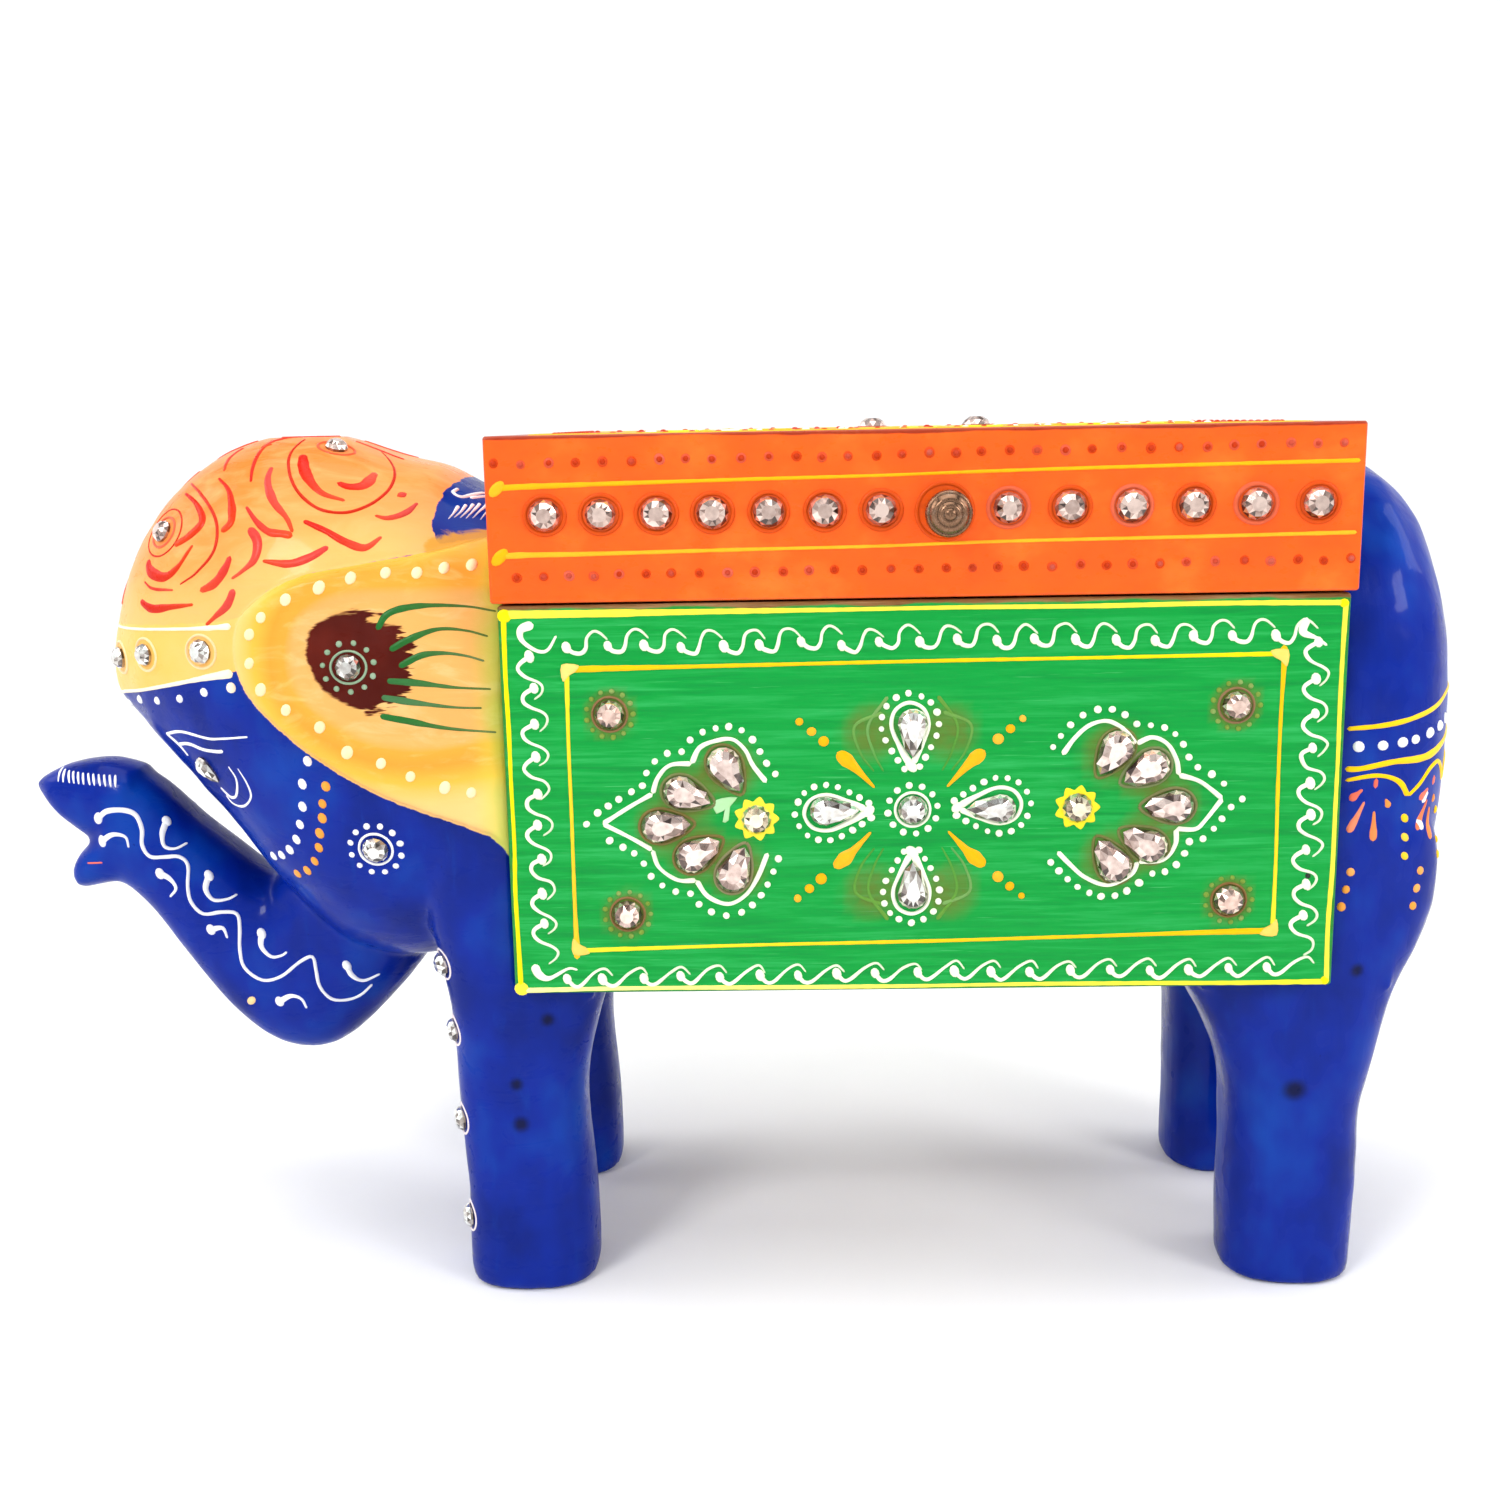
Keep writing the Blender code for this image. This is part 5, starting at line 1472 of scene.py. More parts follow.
class ELEPHANT_OT_paint_lid(Operator):
    """Lays lines, dots and stone collars on the lid"""
    bl_idname = "elephant.paint_lid"
    bl_label = "Paint Lid"

    def execute(self, context):
        sizes, c = chosen(context)
        w = PaintWork(21)
        front, back, top = FlatFace(1, -LID_FACE, -1), FlatFace(1, SIDE, 1), FlatFace(2, LID_TOP, 1)
        rows = [centre_of(n) for n in nodes_named("lid_stone")]
        kx, _, kz = centre_of("knob")
        for w.face in (front, back):
            for z0, z1, low in ((137.4, 139.4, 0.82), (127.0, 128.5, 0.8)):
                ends = LID_HALF - 0.9
                run = [(-ends + 2 * ends * t, z0 + (z1 - z0) * t ** 0.8 + w.chance.uniform(-0.12, 0.12))
                       for t in (0, 0.03, 0.12, 0.3, 0.45, 0.6, 0.8, 1)]
                w.stroke(run, [low * s for s in (1.5, 1.0, 0.85, 0.8, 0.75, 0.8, 0.8, 0.85, 1.0)], c.amber, 0.17)
                w.dot((run[0][0] + 1.0, run[0][1]), 2.0, c.amber, 0.26, 1.7, 0)
            for z0, z1, start in ((141.0, 142.2, -65.4), (123.7, 124.6, -62.6)):
                x = start
                while x < LID_HALF - 1.5:
                    share = (x + LID_HALF) / (2 * LID_HALF)
                    spot = (x, z0 + (z1 - z0) * share + w.chance.uniform(-0.2, 0.2))
                    w.dot(spot, 1.6, mixed(c.orange, BRICK, 0.7), 0.18)
                    w.dot(spot, 1.0, BRICK, 0.5)
                    x += 4.15 + w.chance.uniform(-0.35, 0.35)
            for x, _, z in rows:
                w.ring((x, z), 2.95, 0.85, LID_GLUE, 0.3, w.chance.uniform(1.0, 1.08))
            if w.face is front:
                w.ring((kx, kz), 4.3, 0.8, LID_GLUE, 0.25)
        # The top: an amber frame, a row of flowers and dots.
        w.face = top
        half_x, half_y = LID_HALF - 6.5, SIDE - 6.5
        corners = ((-half_x, -half_y), (half_x, -half_y), (half_x, half_y), (-half_x, half_y))
        for k in range(4):
            (ax, ay), (bx, by) = corners[k], corners[(k + 1) % 4]
            run = [(ax + (bx - ax) * t + w.chance.uniform(-0.12, 0.12), ay + (by - ay) * t + w.chance.uniform(-0.12, 0.12))
                   for t in (0, 0.1, 0.3, 0.5, 0.7, 0.9, 1)]
            w.stroke(run, (1.9, 1.1, 0.85, 0.8, 0.9, 1.0, 1.7), c.amber, 0.17)
            count = int(hypot(bx - ax, by - ay) / 4.15)
            for j in range(1, count):
                t = j / count
                spot = Vector((ax + (bx - ax) * t, ay + (by - ay) * t))
                inward = Vector((0, -copysign(3.2, ay))) if abs(ay - by) < 1 else Vector((-copysign(3.2, ax), 0))
                w.dot(tuple(spot + inward), 1.2, BRICK, 0.35)
        for x, y, _ in (centre_of(n) for n in nodes_named("lid_top_stone")):
            w.ring((x, y), 2.95, 0.85, LID_GLUE, 0.3)
        for centre, petals in ((0.0, 12), (-34.0, 8), (34.0, 8)):
            cx = kx + centre
            reach = 17.0 if centre == 0 else 12.0
            for k in range(petals):
                a = 2 * pi * k / petals + pi / petals
                ux, uy = cos(a), sin(a)
                root = 5.4 if centre else 6.4
                if centre == 0 and abs(uy) < 0.55:
                    continue
                w.stroke([(cx + ux * r - uy * s, uy * r + ux * s) for r, s in ((reach, 0), (reach * 0.8, 0.5), (root, 0))],
                         (1.4, 2.4, 1.7, 0.9, 0.5), c.amber if k % 2 else c.yellow, 0.26)
                w.dot((cx + ux * (reach + 2.6), uy * (reach + 2.6)), 1.2, c.cream, 0.32)
            if centre:
                w.ring((cx, 0), 3.0, 0.7, c.cream, 0.3)
                w.dot((cx, 0), 3.4, c.amber, 0.4)
        w.piece("lid_paint", "lid", c)
        return {"FINISHED"}


EAR_DOTS = ((-104.5, 117.6), (-106.6, 114.9), (-106.9, 110.3), (-105.2, 106.1), (-101.1, 102.9), (-95.6, 100.2), (-91.4, 96.1),
            (-86, 94.3), (-81.4, 92.1), (-76, 90.2), (-71.8, 89.3), (-100.3, 120.4), (-94.9, 122.2), (-89.9, 123.6),
            (-84.4, 124.3), (-79.5, 124.2), (-75.4, 124.8), (-71.2, 125.1))
CAP_STROKES = (
    (((-105.2, -18, 140.5), (-105.3, -20, 138), (-103.8, -23, 135.2), (-101.2, -25, 132.5), (-100, -26, 130.2)), (0.7, 1.3, 1.6, 1.0, 0.6)),
    (((-108.3, -23, 134.5), (-106.2, -25, 132.2), (-104, -26, 130.6), (-101.4, -26, 130), (-100, -27, 130)), (0.5, 1.0, 1.5, 1.3)),
    (((-114.2, -17, 138.6), (-111.4, -20, 136.1), (-110.6, -24, 132.6), (-112.1, -24, 130.4)), (0.4, 0.8, 1.7, 1.2)),
    (((-107.4, -25, 131.2), (-105.8, -26, 129), (-106.1, -27, 126.3), (-108, -27, 124.4), (-110, -27, 123.2)), (1.4, 1.9, 1.6, 0.8, 0.5)),
    (((-110.3, -26, 126.9), (-111.1, -26, 124.7), (-113.3, -27, 122.6), (-115.8, -26, 121.3)), (0.9, 1.7, 1.7, 0.9)),
    (((-109.7, -28, 121.8), (-110.9, -28, 119.2), (-113.1, -27, 117.2), (-115, -27, 115.9)), (1.4, 1.6, 1.0, 0.5)),
    (((-128.4, -19, 119.2), (-125.5, -21, 118.1), (-121.2, -24, 118.7), (-117.1, -26, 119.2)), (1.3, 1.7, 1.0, 0.5)),
    (((-127.5, -19, 122.4), (-125.4, -21, 121.4), (-121, -24, 121.4)), (0.4, 0.6, 0.4)),
    (((-98.5, -26, 132.5), (-94.9, -26, 130.5), (-91.6, -27, 128.9), (-88.4, -27, 127.8), (-85.9, -26, 129.7)), (0.9, 1.1, 1.5, 1.5, 0.5)),
    (((-94.2, -27, 127.9), (-97.2, -28, 126.4), (-100.4, -28, 125.5), (-104.7, -27, 125.9)), (1.1, 1.5, 1.5, 0.5)),
    (((-81.1, -20, 134.5), (-82.8, -22, 132.8), (-85.4, -23, 131.9), (-87.6, -23, 132.4)), (0.5, 1.4, 1.2, 0.5)),
    (((-83, -19, 136.6), (-84.5, -20, 136)), (1.2, 1.6, 0.8)),
    (((-112.3, -9, 143.1), (-113.8, -12, 141.7), (-113.5, -16, 139.6)), (0.6, 0.9, 0.5)),
    (((-108.1, -20, 138), (-108.5, -17, 140.8), (-108, -12, 143.1), (-106.8, -11, 143.5)), (0.5, 0.7, 0.9, 0.5)),
    (((-103, -7, 145.1), (-106.6, -9, 144.5), (-108.5, -12, 143.1)), (0.6, 1.1, 0.8)),
    (((-100.9, -15, 142.2), (-99.5, -19, 139.5), (-96.6, -22, 136.7), (-92.5, -22, 134.8)), (1.5, 2.2, 1.3, 0.6)),
    (((-94.3, -20, 138), (-92.1, -20, 137.3), (-89.8, -19, 137.9), (-89, -15, 139.1)), (1.0, 1.9, 2.1, 1.0)),
    (((-120.4, -15, 136), (-117.3, -19, 134.5), (-115.9, -22, 132.2), (-118, -22, 129.8), (-120.7, -21, 128.1)), (0.5, 0.9, 1.8, 1.2)),
    (((-126.9, -18, 125.9), (-125.6, -19, 123.9), (-122.6, -22, 123.3), (-119.7, -23, 125), (-117.1, -23, 128.4)), (1.6, 2.2, 1.6, 0.9, 0.5)),
    (((-119, -4, 141.5), (-116, -6, 142.8), (-111, -5, 144.6)), (0.5, 0.9, 0.5)),
    (((-127, -5, 135), (-124, -7, 138), (-120.5, -8, 140)), (0.5, 1.0, 0.5)),
    (((-133, -6, 124), (-134, -8, 120.5), (-133.5, -11, 117.5)), (0.5, 1.2, 0.6)),
    (((-86, -6, 141.5), (-90, -4, 143.4), (-95, -3, 145)), (0.5, 1.0, 0.5)),
    (((-99, -3, 146), (-104, -2, 146), (-108, -3, 145.6)), (0.5, 1.1, 0.5)))
CAP_RINGS = (((-102, -9, 144.4), (-102.9, -16, 141.9), (-100.9, -21, 137.5), (-97, -24, 134.4), (-92.6, -24, 133.3), (-88.5, -22, 134.5),
              (-85.9, -18, 137.1), (-86.6, -12, 139.8), (-90.8, -4, 142.3)),
             ((-120.1, -13, 137.6), (-115.9, -19, 135.3), (-113.1, -23, 131.8), (-113.3, -25, 127.8), (-116.1, -25, 124.3), (-119.5, -24, 122.2)))
TRUNK_WAVE = ((-144.4, 79.3), (-142.7, 80.6), (-139.8, 80.8), (-137.5, 79.9), (-136.4, 77.3), (-136.5, 74.6), (-135.2, 72.5), (-132.6, 72.4),
              (-130, 72.4), (-128.4, 70.8), (-128.5, 67.1), (-128, 64.3), (-125.9, 62.2), (-122.6, 62.5), (-119.9, 62.1), (-119.4, 59.5),
              (-119.6, 55.8), (-119, 52.3), (-115.8, 50), (-112.2, 50.9), (-108.6, 53.7), (-106.1, 54.8), (-105.6, 52.3), (-105.2, 49.2),
              (-103.4, 46.6), (-100.6, 46.2), (-98.3, 47), (-96.2, 48.9))
TRUNK_CURLS = (((-144.1, 75.1), (-141.9, 76.4), (-139.5, 76), (-139, 74)), ((-132.4, 78.5), (-132.9, 76.4), (-132.5, 74.3), (-130.7, 73.8), (-128.7, 74.6)),
               ((-133.5, 69.4), (-131.8, 68.5), (-130.7, 66.8), (-132, 65.1)), ((-124.8, 68.9), (-125.3, 66.6), (-124, 64.7), (-121.6, 64.7), (-119.9, 65.4)),
               ((-124.7, 59.3), (-122.5, 59.6), (-121.7, 57.7)), ((-115.5, 58.6), (-115.6, 56.2), (-113.9, 54.5), (-111.9, 54.8), (-110.7, 55.6)),
               ((-113, 46), (-110.7, 47.2), (-108.8, 46.7), (-108, 44.8)), ((-100, 53.1), (-99.3, 51.1), (-97.5, 49.9), (-94.6, 50.9)))


class HeadPainter:
    """The ornaments of one side of the head.  Places are (x, z), or (x, y, z) where the
    skin curves away, given for the -Y side."""

    def __init__(self, side, seed, sizes, colours):
        self.side, self.colours = side, colours
        self.work = PaintWork(seed, CarvedFace(carved["head"], side))
        self.dot, self.high = sizes.dot_size / MM, sizes.bead_height / MM

    def ear(self):
        c, w = self.colours, self.work
        pale = mixed(c.ear, (1, 1, 0.7), 0.6)
        for k, place in enumerate(EAR_DOTS):
            w.dot(place, 1.75 if k % 3 else 1.9, pale, 0.5, 1.15, 20)
        ex, ez = -90.7, 109.6
        w.ring((ex, ez), 2.6, 0.5, mixed(CLEAR_GLUE, VEIN, 0.5), 0.4, 1.12)
        for k in range(11):
            a = 2 * pi * k / 11 + 0.2
            w.dot((ex + 4.2 * cos(a), ez + 3.9 * sin(a)), 1.0, mixed(CLEAR_GLUE, VEIN, 0.55), 0.3)
        veins = (((-86, 115.4), (-84, 118), (-79, 119), (-72, 118.7), (-67.2, 117.8)), ((-84, 112.2), (-81, 113.8), (-76.5, 115.3), (-72, 115), (-68.4, 114)),
                 ((-82.6, 109.6), (-79, 111.3), (-75.5, 111.6), (-72, 111.1), (-69, 110.2)), ((-84.6, 107.4), (-80, 107), (-74, 106.2), (-68, 105.8)),
                 ((-85.6, 104.8), (-80, 103.8), (-74, 103), (-69.6, 102.8)), ((-86, 101.8), (-82, 101), (-75, 99.6), (-67.4, 98.9)))
        for vein in veins:
            w.stroke(vein, (1.3, 1.6, 0.9, 0.55, 0.45), VEIN, 0.16, mixed(VEIN, c.peach, 0.15))

    def cap(self):
        c, w = self.colours, self.work
        for path, widths in CAP_STROKES:
            w.stroke(path, [1.22 * width for width in widths], c.red, 0.2, mixed(c.red, c.cap, 0.25))
        for path in CAP_RINGS:
            w.stroke(path, (0.5, 0.7, 0.8, 0.7, 0.4), mixed(c.red, BRICK, 0.4), 0.18)
        w.ring((-96.4, -11, 143) if self.side < 0 else (-96.4, -16, 141), 2.7, 0.6, mixed(c.red, c.cap, 0.4), 0.3, 1.15)
        w.ring((-123.6, -18, 130.2), 2.7, 0.6, mixed(c.red, c.cap, 0.4), 0.3, 1.1)
        w.ring((-123.6, -18, 130.2), 4.3, 0.45, mixed(c.red, BRICK, 0.3), 0.2, 1.1)

    def band(self):
        c, w = self.colours, self.work
        pale = mixed(c.ear, (1, 1, 0.85), 0.75)
        w.stroke(((-110.5, -29, 115.9), (-116, -27, 115.4), (-124, -23, 114.9), (-131, -17, 114.4), (-136, -8, 113.9), (-138, 0, 113.7)),
                 (1.3, 0.7, 0.6, 0.6, 0.6, 0.55), pale, 0.3)
        w.stroke(((-110.6, -29, 108.3), (-116, -27, 107.3), (-124, -23, 105.5), (-133, -14, 103.4), (-138, -6, 102.4), (-139, 0, 102.2)),
                 (1.9, 0.9, 0.8, 0.75, 0.8, 0.7), pale, 0.34)
        w.dot((-111.2, -29, 105.9), 2.0, pale, 0.5)
        for x, y, z in ((-131.8, -16, 102), (-127.3, -21, 102.4), (-121.3, -24, 103.5), (-116.4, -27, 104.9), (-135.6, -9, 100.6), (-137.6, -3, 100)):
            w.dot((x, y, z), 1.6, c.white, 0.45)
        for place in ((-127.8, -20, 110.4), (-116.4, -27, 111.6), (-134.6, -12, 109)):
            w.ring(place, 2.75, 0.55, mixed(pale, c.ear, 0.5), 0.36, 1.12)

    def eye(self):
        c, w = self.colours, self.work
        w.stroke(((-126.9, -19, 96.3), (-123.1, -23, 97.3), (-117.2, -26, 96.9), (-114.1, -27, 97.2), (-108.6, -29, 97.9)),
                 (0.7, 0.65, 0.55, 0.5, 0.4), c.white, 0.3)
        w.stroke(((-124.6, -21, 94.6), (-121.8, -23, 95.3), (-118.6, -25, 94.7), (-115.4, -27, 94.7), (-114.1, -27, 95.1)),
                 (0.8, 0.7, 0.7, 0.8), c.white, 0.3)
        w.stroke(((-126.9, -19, 96.3), (-124.9, -21, 94.3), (-123, -21, 92.6)), (0.6, 0.7, 0.5), c.white, 0.28)
        w.stroke(((-113.7, -27, 92.4), (-112.3, -27, 90.2), (-113.1, -26, 87.3), (-115, -25, 86.3), (-116.9, -24, 87.8)),
                 (0.3, 0.5, 0.7, 0.5), c.white, 0.26)
        w.stroke(((-111.8, -28, 92.3), (-110.3, -28, 89.9), (-110.1, -28, 87.3), (-112, -26, 85.3), (-114.7, -24, 85.2), (-116.2, -24, 86.4)),
                 (0.25, 0.5, 0.6, 0.4), c.white, 0.24)

    def cheek(self):
        c, w = self.colours, self.work
        w.ring((-88.7, 79.2), 2.8, 0.55, c.white, 0.32)
        for k in range(12):
            a = 2 * pi * k / 12 + 0.25
            w.dot((-88.7 + 4.3 * cos(a), 79.2 + 4.2 * sin(a)), self.dot, c.white)
        for place in ((-98.7, 94.2), (-100, 90.3), (-100.4, 86.4), (-101.3, 83.2), (-102.4, 80.4), (-104.1, 78.3), (-106, 77), (-107.9, 76.4)):
            w.dot(place, 1.5, c.white, 0.42, 1.2, 60)
        for place in ((-96, 90), (-96.9, 87), (-97.2, 84.5), (-98, 81.8), (-98.5, 79.2), (-99.7, 76.6), (-101.5, 74.6), (-103.7, 73.6)):
            w.dot(place, 1.55, ORANGE_DOT, 0.36, 1.15, 60)

    def trunk(self):
        c, w = self.colours, self.work
        w.stroke(TRUNK_WAVE, (1.3, 0.85, 0.75, 0.8, 0.7, 0.75, 0.6), c.white, self.high, None, 4)
        w.dot(TRUNK_WAVE[0], 1.7, c.white, 0.5, 1.3, 40)
        for curl in TRUNK_CURLS:
            w.stroke(curl, (1.5, 1.2, 0.8, 0.6, 0.5), c.white, self.high)
            w.dot(curl[0], 1.75, c.white, 0.5, 1.25, 70)
        w.stroke(((-147.5, 70.9), (-144.4, 71.1)), (0.45, 0.5), ROSE, 0.12)
        w.dot((-118.4, 45.9), 1.5, mixed(c.amber, c.cream, 0.4), 0.3, 1.4, 0)
        # Twelve short white dashes over the top of the trunk's tip. They are painted strokes, made longer and closer
        # together so that they also stand in for the glare on the tip (painted highlight).
        for k in range(12):
            x = -152.2 + 0.98 * k
            w.stroke(((x, 87.7 - 0.08 * k), (x + 0.5 + w.chance.uniform(-0.2, 0.2), 85.6 - 0.08 * k)), (0.5, 0.65, 0.35), c.white, 0.14)

    def withers(self):
        c, w = self.colours, self.work
        scribble = ((-75.6, -12, 137), (-76.6, -14, 135.6), (-75.2, -14, 134.6), (-73.2, -11, 136), (-71.4, -8, 137.4),
                    (-70.4, -8, 136.8), (-71.8, -10, 135.4), (-74.2, -13, 134))
        w.stroke(scribble, (0.8, 1.0, 0.8, 0.9), c.white, 0.25)
        for k in range(6):
            x, drop = -75.8 + 1.25 * k + w.chance.uniform(-0.2, 0.2), w.chance.uniform(-1.0, 1.2)
            w.stroke(((x + 0.7, -17 + k, 133.8 + 0.6 * k), (x, -19 + k, 132.3 + 0.6 * k), (x - 0.9, -20, 131 + 0.6 * k + drop)),
                     (0.9, 0.6, 0.25), c.white, 0.14, mixed(c.white, c.blue, 0.5))

    def leg(self):
        """Rings round the stones down the front of the foreleg."""
        c, w = self.colours, self.work
        for z in FORE_LEG_STONES:
            w.ring((FORE_LEG_X - LEG_RADIUS, -LEG_Y - 5.4, z), 2.7, 0.5, mixed(c.white, ROSE, 0.15), 0.3)

    def paint(self):
        for part in (self.ear, self.cap, self.band, self.eye, self.cheek, self.trunk, self.withers, self.leg):
            part()


FORE_LEG_STONES = (58.5, 46.3, 30.1, 12.1)


class ELEPHANT_OT_paint_head(Operator):
    """Paints the ornaments of ears, cap, eyes, cheeks, trunk and forelegs"""
    bl_idname = "elephant.paint_head"
    bl_label = "Paint Head"

    def execute(self, context):
        sizes, c = chosen(context)
        for side, label, seed in ((-1, "front", 31), (1, "back", 32)):
            painter = HeadPainter(side, seed, sizes, c)
            painter.paint()
            painter.work.piece(f"head_paint_{label}", "elephant", c)
        return {"FINISHED"}


class ELEPHANT_OT_paint_rump(Operator):
    """Paints the bands, scallops and dots of the rump"""
    bl_idname = "elephant.paint_rump"
    bl_label = "Paint Rump"

    def execute(self, context):
        c = context.scene.elephant_colours
        w = PaintWork(41)
        golden = mixed(c.yellow, c.amber, 0.55)
        for side in (-1, 1):
            w.face = CarvedFace(carved["rump"], side)
            w.stroke(((67.6, -33, 97.3), (73.9, -33, 97.8), (80.7, -32, 99.3), (87, -29, 101.2), (92, -23, 102.4), (94.6, -12, 103), (95.2, -3, 103)),
                     (0.9, 1.1, 1.0, 0.9, 0.9, 0.8, 0.7), golden, 0.26, mixed(golden, c.cream, 0.4))
            for place in ((69.6, -33, 94.4), (73.5, -33, 94.5), (76.8, -33, 94.9), (79.4, -33, 95.2), (82.6, -32, 96), (85.6, -30, 96.8),
                          (88.6, -27, 97.6), (91.2, -23, 98.2), (93, -17.5, 98.6), (94.2, -12, 98.8), (94.8, -6.5, 99)):
                w.dot(place, 1.75, c.white, 0.48)
            w.stroke(((67.6, -33, 90.8), (70.2, -33, 90.8), (75.6, -33, 91.8), (81.3, -32, 92.1), (87.4, -29, 93.6), (92, -23, 94.6),
                            (95, -12, 95.2), (95.6, -3, 95.2)), (1.1, 1.2, 1.7, 1.3, 0.9, 0.9, 0.8), golden, 0.26, mixed(golden, c.cream, 0.4))
            scallops = ((67.8, -33, 88.9), (72.9, -33, 89.6), (76.4, -32, 88.6), (78.5, -32, 85.9)), \
                       ((78.5, -32, 85.9), (80.6, -32, 87.4), (83.4, -31, 90.3), (86.6, -29.5, 90.6), (89.4, -26, 87)), \
                       ((89.4, -26, 87), (91.4, -23, 89.6), (93.4, -18, 91), (95, -12, 90.6), (95.2, -8, 87)), \
                       ((95.2, -8, 87), (95.6, -5, 89.4), (95.8, -3, 90.6))
            for path in scallops:
                w.stroke(path, (0.8, 0.9, 1.0, 1.4), golden, 0.26)
            for cx, cy, cz in ((72.8, -33, 89), (84.6, -30, 88.4), (92.6, -19, 88.8)):
                w.stroke(((cx, cy, cz + 0.2), (cx, cy, cz - 1.6)), (0.9, 1.0), ROSE, 0.2)
                for lean, start, reach in ((-0.9, 2.6, 5.4), (-0.45, 4.0, 9.6), (0.0, 5.2, 10.2), (0.5, 3.8, 5.6)):
                    along = cos(lean)
                    turn = 1 if cy < -25 else 0.4
                    w.stroke(((cx + sin(lean) * start * turn, cy, cz - start * along), (cx + sin(lean) * reach * turn, cy, cz - reach * along)),
                             (0.5, 0.9, 1.7, 1.5), mixed(ROSE, ORANGE_DOT, 0.5 + lean / 2), 0.22)
                for k in range(3):
                    w.dot((cx + 5.6, cy + 1.2, cz - 6.8 - 3.1 * k), 1.35, golden, 0.3, 1.2, 90)
                for k in range(3):
                    w.dot((cx - 3.4 - 0.6 * k, cy, cz - 15.2 - 2.9 * k), 1.45, ORANGE_DOT, 0.3)
            w.stroke(((83.2, -31, 86.2), (82, -31, 84.2)), (0.7, 1.3), c.white, 0.3)
            w.dot((82, -31, 81), 1.4, c.white, 0.3, 1.7, 90)
        w.piece("rump_paint", "elephant", c)
        return {"FINISHED"}


class ELEPHANT_OT_set_stones(Operator):
    """Sets the foil-backed stones on lid, panels, head and forelegs"""
    bl_idname = "elephant.set_stones"
    bl_label = "Set Stones"

    def execute(self, context):
        sizes, c = chosen(context)
        size, height = sizes.stone_size / MM, sizes.stone_height / MM
        smoky = (0.86, 0.66, 0.57)
        silver, pink, copper = (0.95, 1.0, 0.96), (1.0, 0.82, 0.74), (1.0, 0.74, 0.62)
        centre = centre_of("centre_stone")
        panel_nodes = nodes_named("centre_stone", "drop_stone", "corner_stone", "fan_")
        for label, face, seed, replaced in (("front", FlatFace(1, -SIDE, -1), 51, panel_nodes), ("back", FlatFace(1, SIDE, 1), 52, ())):
            work = StoneWork(seed)
            for node in panel_nodes:
                x, _, z = centre_of(node)
                drop, turn = None, 0.0
                foil = silver
                if node.startswith("fan_"):
                    foil = pink
                    hub = centre_of(node[:-1] + "0")
                    if not node.endswith("_0"):
                        drop, turn = 7.8, atan2(hub[2] - z, hub[0] - x)
                    else:
                        foil = (1.0, 0.92, 0.62)
                elif node.startswith("drop_"):
                    drop, turn = 7.8, atan2(centre[2] - z, centre[0] - x)
                elif node.startswith("corner_"):
                    foil = copper
                if drop and face.out.y > 0:
                    turn = pi - turn
                work.stone(face, (x, z), (5.4 if node.startswith("fan_") else 4.8) if drop else size * work.chance.uniform(0.92, 1.0), height, foil, drop, turn)
            work.piece(f"panel_stones_{label}", "elephant", c, replaced)
        lid = StoneWork(53)
        for node in nodes_named("lid_stone"):
            x, _, z = centre_of(node)
            for face in (FlatFace(1, -LID_FACE, -1), FlatFace(1, SIDE, 1)):
                lid.stone(face, (x, z), size * lid.chance.uniform(0.94, 1.0), height, smoky)
        for node in nodes_named("lid_top_stone"):
            x, y, _ = centre_of(node)
            lid.stone(FlatFace(2, LID_TOP, 1), (x, y), size, height, pink)
        lid.piece("lid_stones", "lid", c, nodes_named("lid_stone", "lid_top_stone"))
        head = StoneWork(54)
        for side in (-1, 1):
            face = CarvedFace(carved["head"], side)
            crown = (-96.4, -11, 143) if side < 0 else (-96.4, -16, 141)
            for place, across, foil in ((crown, 3.8, pink), ((-123.6, -18, 130.2), 3.8, pink), ((-127.8, -20, 110.4), 3.8, silver),
                                        ((-116.4, -27, 111.6), 4.2, silver), ((-134.6, -12, 109), 3.8, silver), ((-90.7, 109.6), 4.2, silver),
                                        ((-88.7, 79.2), 4.4, silver)):
                head.stone(face, place, across, 1.4, foil, lift=0.1)
            head.stone(face, (-118.5, -24, 90.9), 3.2, 1.3, silver, 5.6, -0.75 if side < 0 else pi + 0.75, 0.1)
            for z in FORE_LEG_STONES:
                head.stone(face, (FORE_LEG_X - LEG_RADIUS, -LEG_Y - 5.4, z), 4.2, 1.3, silver, lift=0.1)
        head.piece("head_stones", "elephant", c)
        return {"FINISHED"}


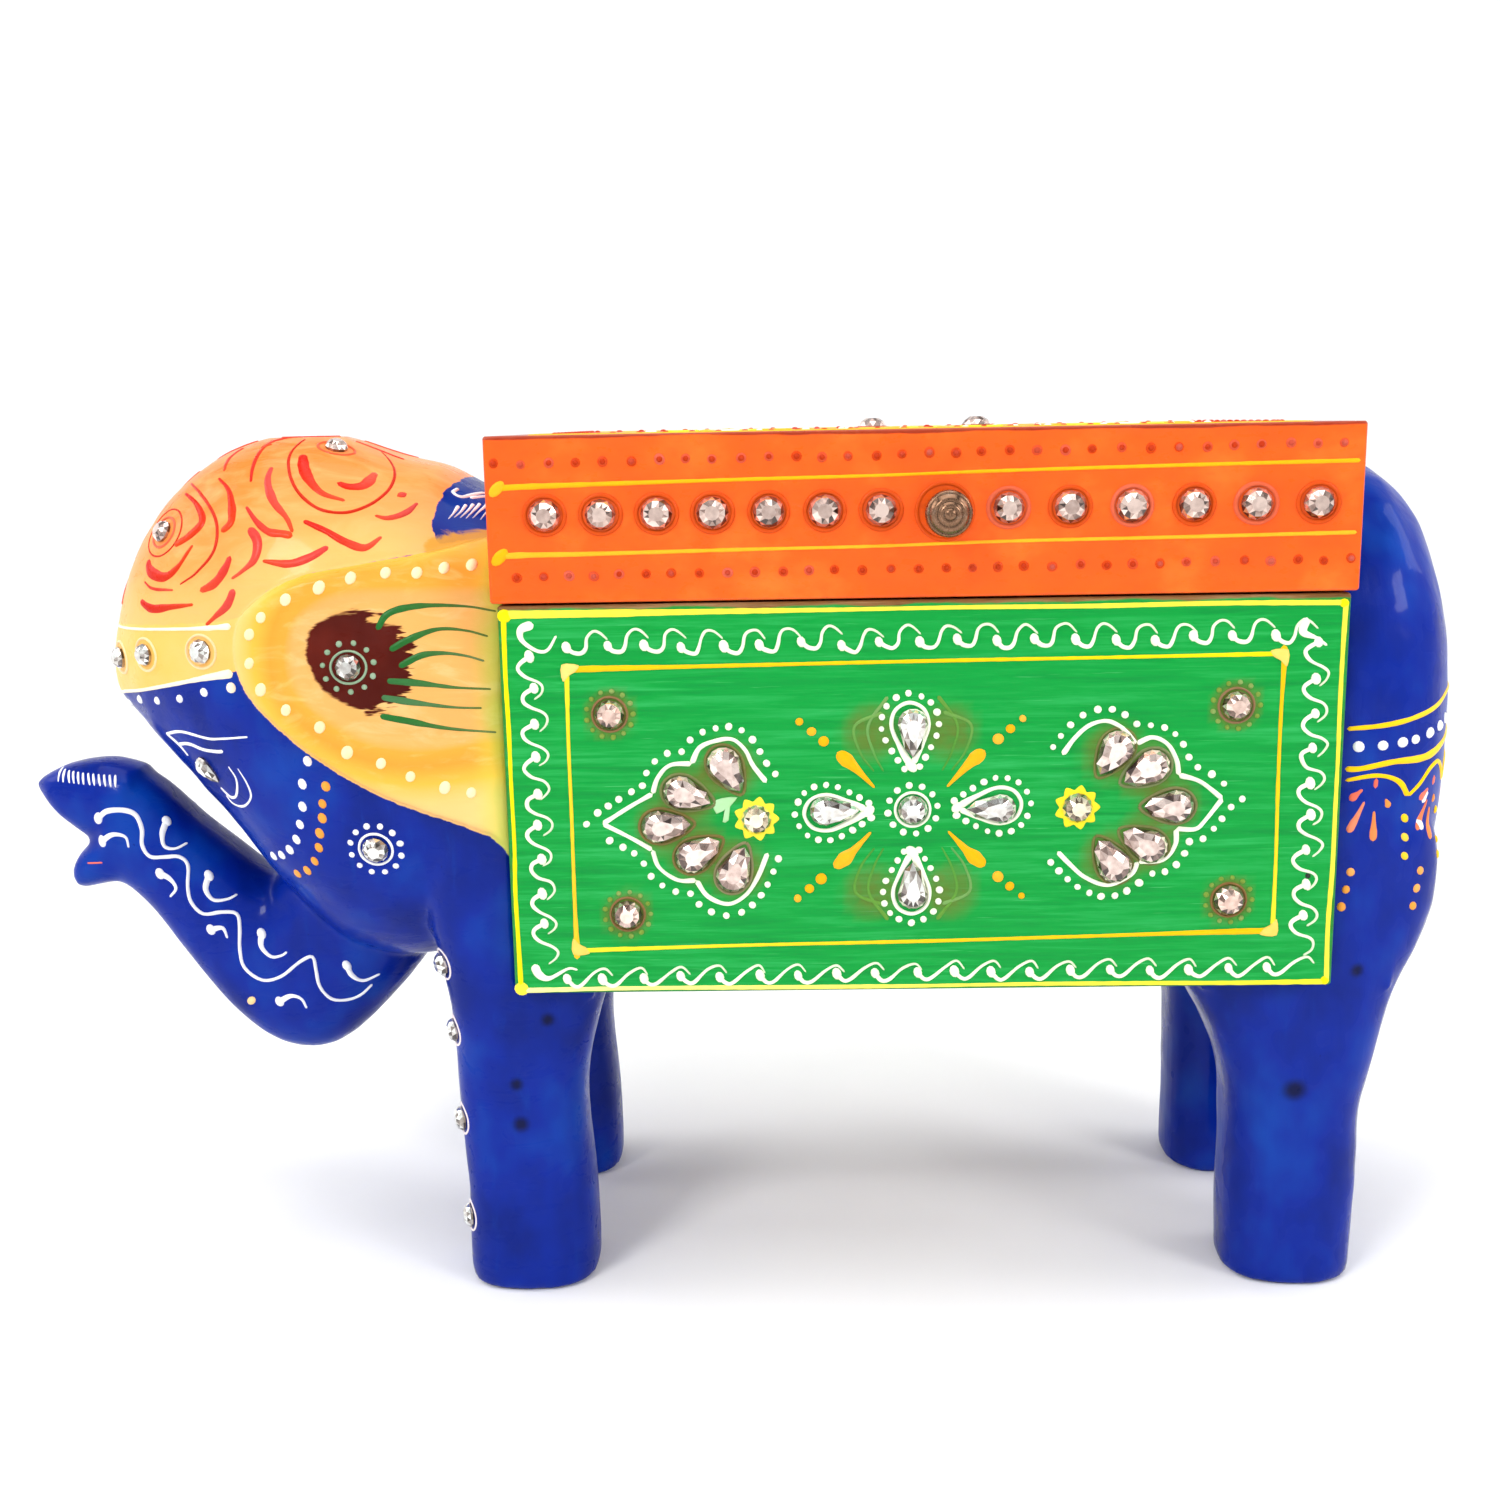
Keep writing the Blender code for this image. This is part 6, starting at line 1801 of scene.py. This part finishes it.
# ---- the stage --------------------------------------------------------------------------
class ELEPHANT_OT_set_stage(Operator):
    """Sets the pale floor, the soft lights and the camera"""
    bl_idname = "elephant.set_stage"
    bl_label = "Set Stage"

    def execute(self, context):
        scene = context.scene
        colours = scene.elephant_colours
        # A bowl of pale studio paper, its floor running up into a wall all round.
        reach, bend, rise, around = 1250, 420, 1500, 48
        profile = [(r, 0.0) for r in (60, 240, 480, 700, reach - bend)]
        profile += [(reach - bend + bend * sin(a), bend - bend * cos(a)) for a in (radians(10 * k) for k in range(1, 10))]
        profile += [(reach, bend + (rise - bend) * t) for t in (0.5, 1.0)]
        points, faces = [(0.0, 0.0, 0.0)], []
        for r, z in profile:
            points += [(r * cos(2 * pi * k / around), r * sin(2 * pi * k / around), z) for k in range(around)]
        for k in range(around):
            faces.append((0, 1 + k, 1 + (k + 1) % around))
            for j in range(len(profile) - 1):
                i, n = 1 + j * around, (k + 1) % around
                faces.append((i + k, i + around + k, i + around + n, i + n))
        floor = piece("studio_paper", points, faces, finish_of("floor", colours))

        def lamp(name, at, aim, size, power, tint=(1, 1, 1), tall=None):
            data = bpy.data.lights.new(name, "AREA")
            data.shape = "RECTANGLE"
            data.size, data.size_y = size, tall or size
            data.energy, data.color = power, tint
            obj = bpy.data.objects.new(name, data)
            obj.location = at
            obj.rotation_mode = "QUATERNION"
            obj.rotation_quaternion = (Vector(aim) - Vector(at)).to_track_quat("-Z", "Y")
            scene.collection.objects.link(obj)

        lamp("overhead", (0.0, -0.05, 0.95), (0, 0, 0), 0.9, 6.4)
        lamp("key", (-0.42, -0.62, 0.62), (0, 0, 0.08), 0.24, 3.4)
        lamp("fill", (0.62, -0.5, 0.45), (0, 0, 0.08), 0.24, 2.0)
        lamp("paper_left", (-0.9, 0.1, 0.7), (-0.2, 0.6, 0.1), 0.5, 3.0)
        lamp("paper_right", (0.9, 0.1, 0.7), (0.2, 0.6, 0.1), 0.5, 3.0)
        world = bpy.data.worlds.new("studio")
        world.use_nodes = True
        world.node_tree.nodes["Background"].inputs["Color"].default_value = (0.9, 0.93, 1.0, 1.0)
        world.node_tree.nodes["Background"].inputs["Strength"].default_value = 0.15
        scene.world = world
        scene.view_settings.view_transform = "Standard"

        data = bpy.data.cameras.new("camera")
        data.lens, data.sensor_width = 39.6, 36.0
        data.clip_start, data.clip_end = 0.01, 20.0
        camera = bpy.data.objects.new("camera", data)
        pitch, yaw, roll = (radians(a) for a in (11.24, -1.24, -1.04))
        ahead_of = Vector((sin(yaw) * cos(pitch), cos(yaw) * cos(pitch), -sin(pitch)))
        right = Vector((cos(yaw), -sin(yaw), 0))
        up = right.cross(ahead_of)
        c, s = cos(roll), sin(roll)
        right, up = right * c + up * s, up * c - right * s
        spot = MIDDLE + Vector((-21.5, -292.1, 146.7)) * MM
        camera.matrix_world = Matrix.Translation(spot) @ Matrix((right, up, -ahead_of)).transposed().to_4x4()
        scene.collection.objects.link(camera)
        scene.camera = camera
        return {"FINISHED"}


# ---- the sidebar ------------------------------------------------------------------------
STEPS = (ELEPHANT_OT_carve_head, ELEPHANT_OT_carve_rump, ELEPHANT_OT_make_panels, ELEPHANT_OT_make_lid,
         ELEPHANT_OT_make_inner_boards, ELEPHANT_OT_turn_knob, ELEPHANT_OT_fit_hinges, ELEPHANT_OT_paint_panels,
         ELEPHANT_OT_paint_lid, ELEPHANT_OT_paint_head, ELEPHANT_OT_paint_rump, ELEPHANT_OT_set_stones,
         ELEPHANT_OT_set_stage)


class ELEPHANT_PT_workshop(Panel):
    """Lists the sizes, the colours and the steps of the elephant box"""
    bl_idname = "ELEPHANT_PT_workshop"
    bl_label = "Painted Elephant Box"
    bl_space_type = "VIEW_3D"
    bl_region_type = "UI"
    bl_category = "Elephant"

    def draw(self, context):
        for group in (context.scene.elephant_sizes, context.scene.elephant_colours):
            column = self.layout.column(align=True)
            for name in type(group).__annotations__:
                column.prop(group, name)
        column = self.layout.column(align=True)
        for step in STEPS:
            column.operator(step.bl_idname)


CLASSES = (ElephantSizes, ElephantColours, *STEPS, ELEPHANT_PT_workshop)


def register():
    for cls in CLASSES:
        bpy.utils.register_class(cls)
    bpy.types.Scene.elephant_sizes = PointerProperty(type=ElephantSizes)
    bpy.types.Scene.elephant_colours = PointerProperty(type=ElephantColours)


def unregister():
    del bpy.types.Scene.elephant_colours
    del bpy.types.Scene.elephant_sizes
    for cls in reversed(CLASSES):
        bpy.utils.unregister_class(cls)


def main():
    for old in [o for o in bpy.data.objects if o.type in ("LIGHT", "CAMERA")]:
        bpy.data.objects.remove(old, do_unlink=True)
    register()
    for step in STEPS:
        group, name = step.bl_idname.split(".")
        getattr(getattr(bpy.ops, group), name)()


if __name__ == "__main__":
    main()
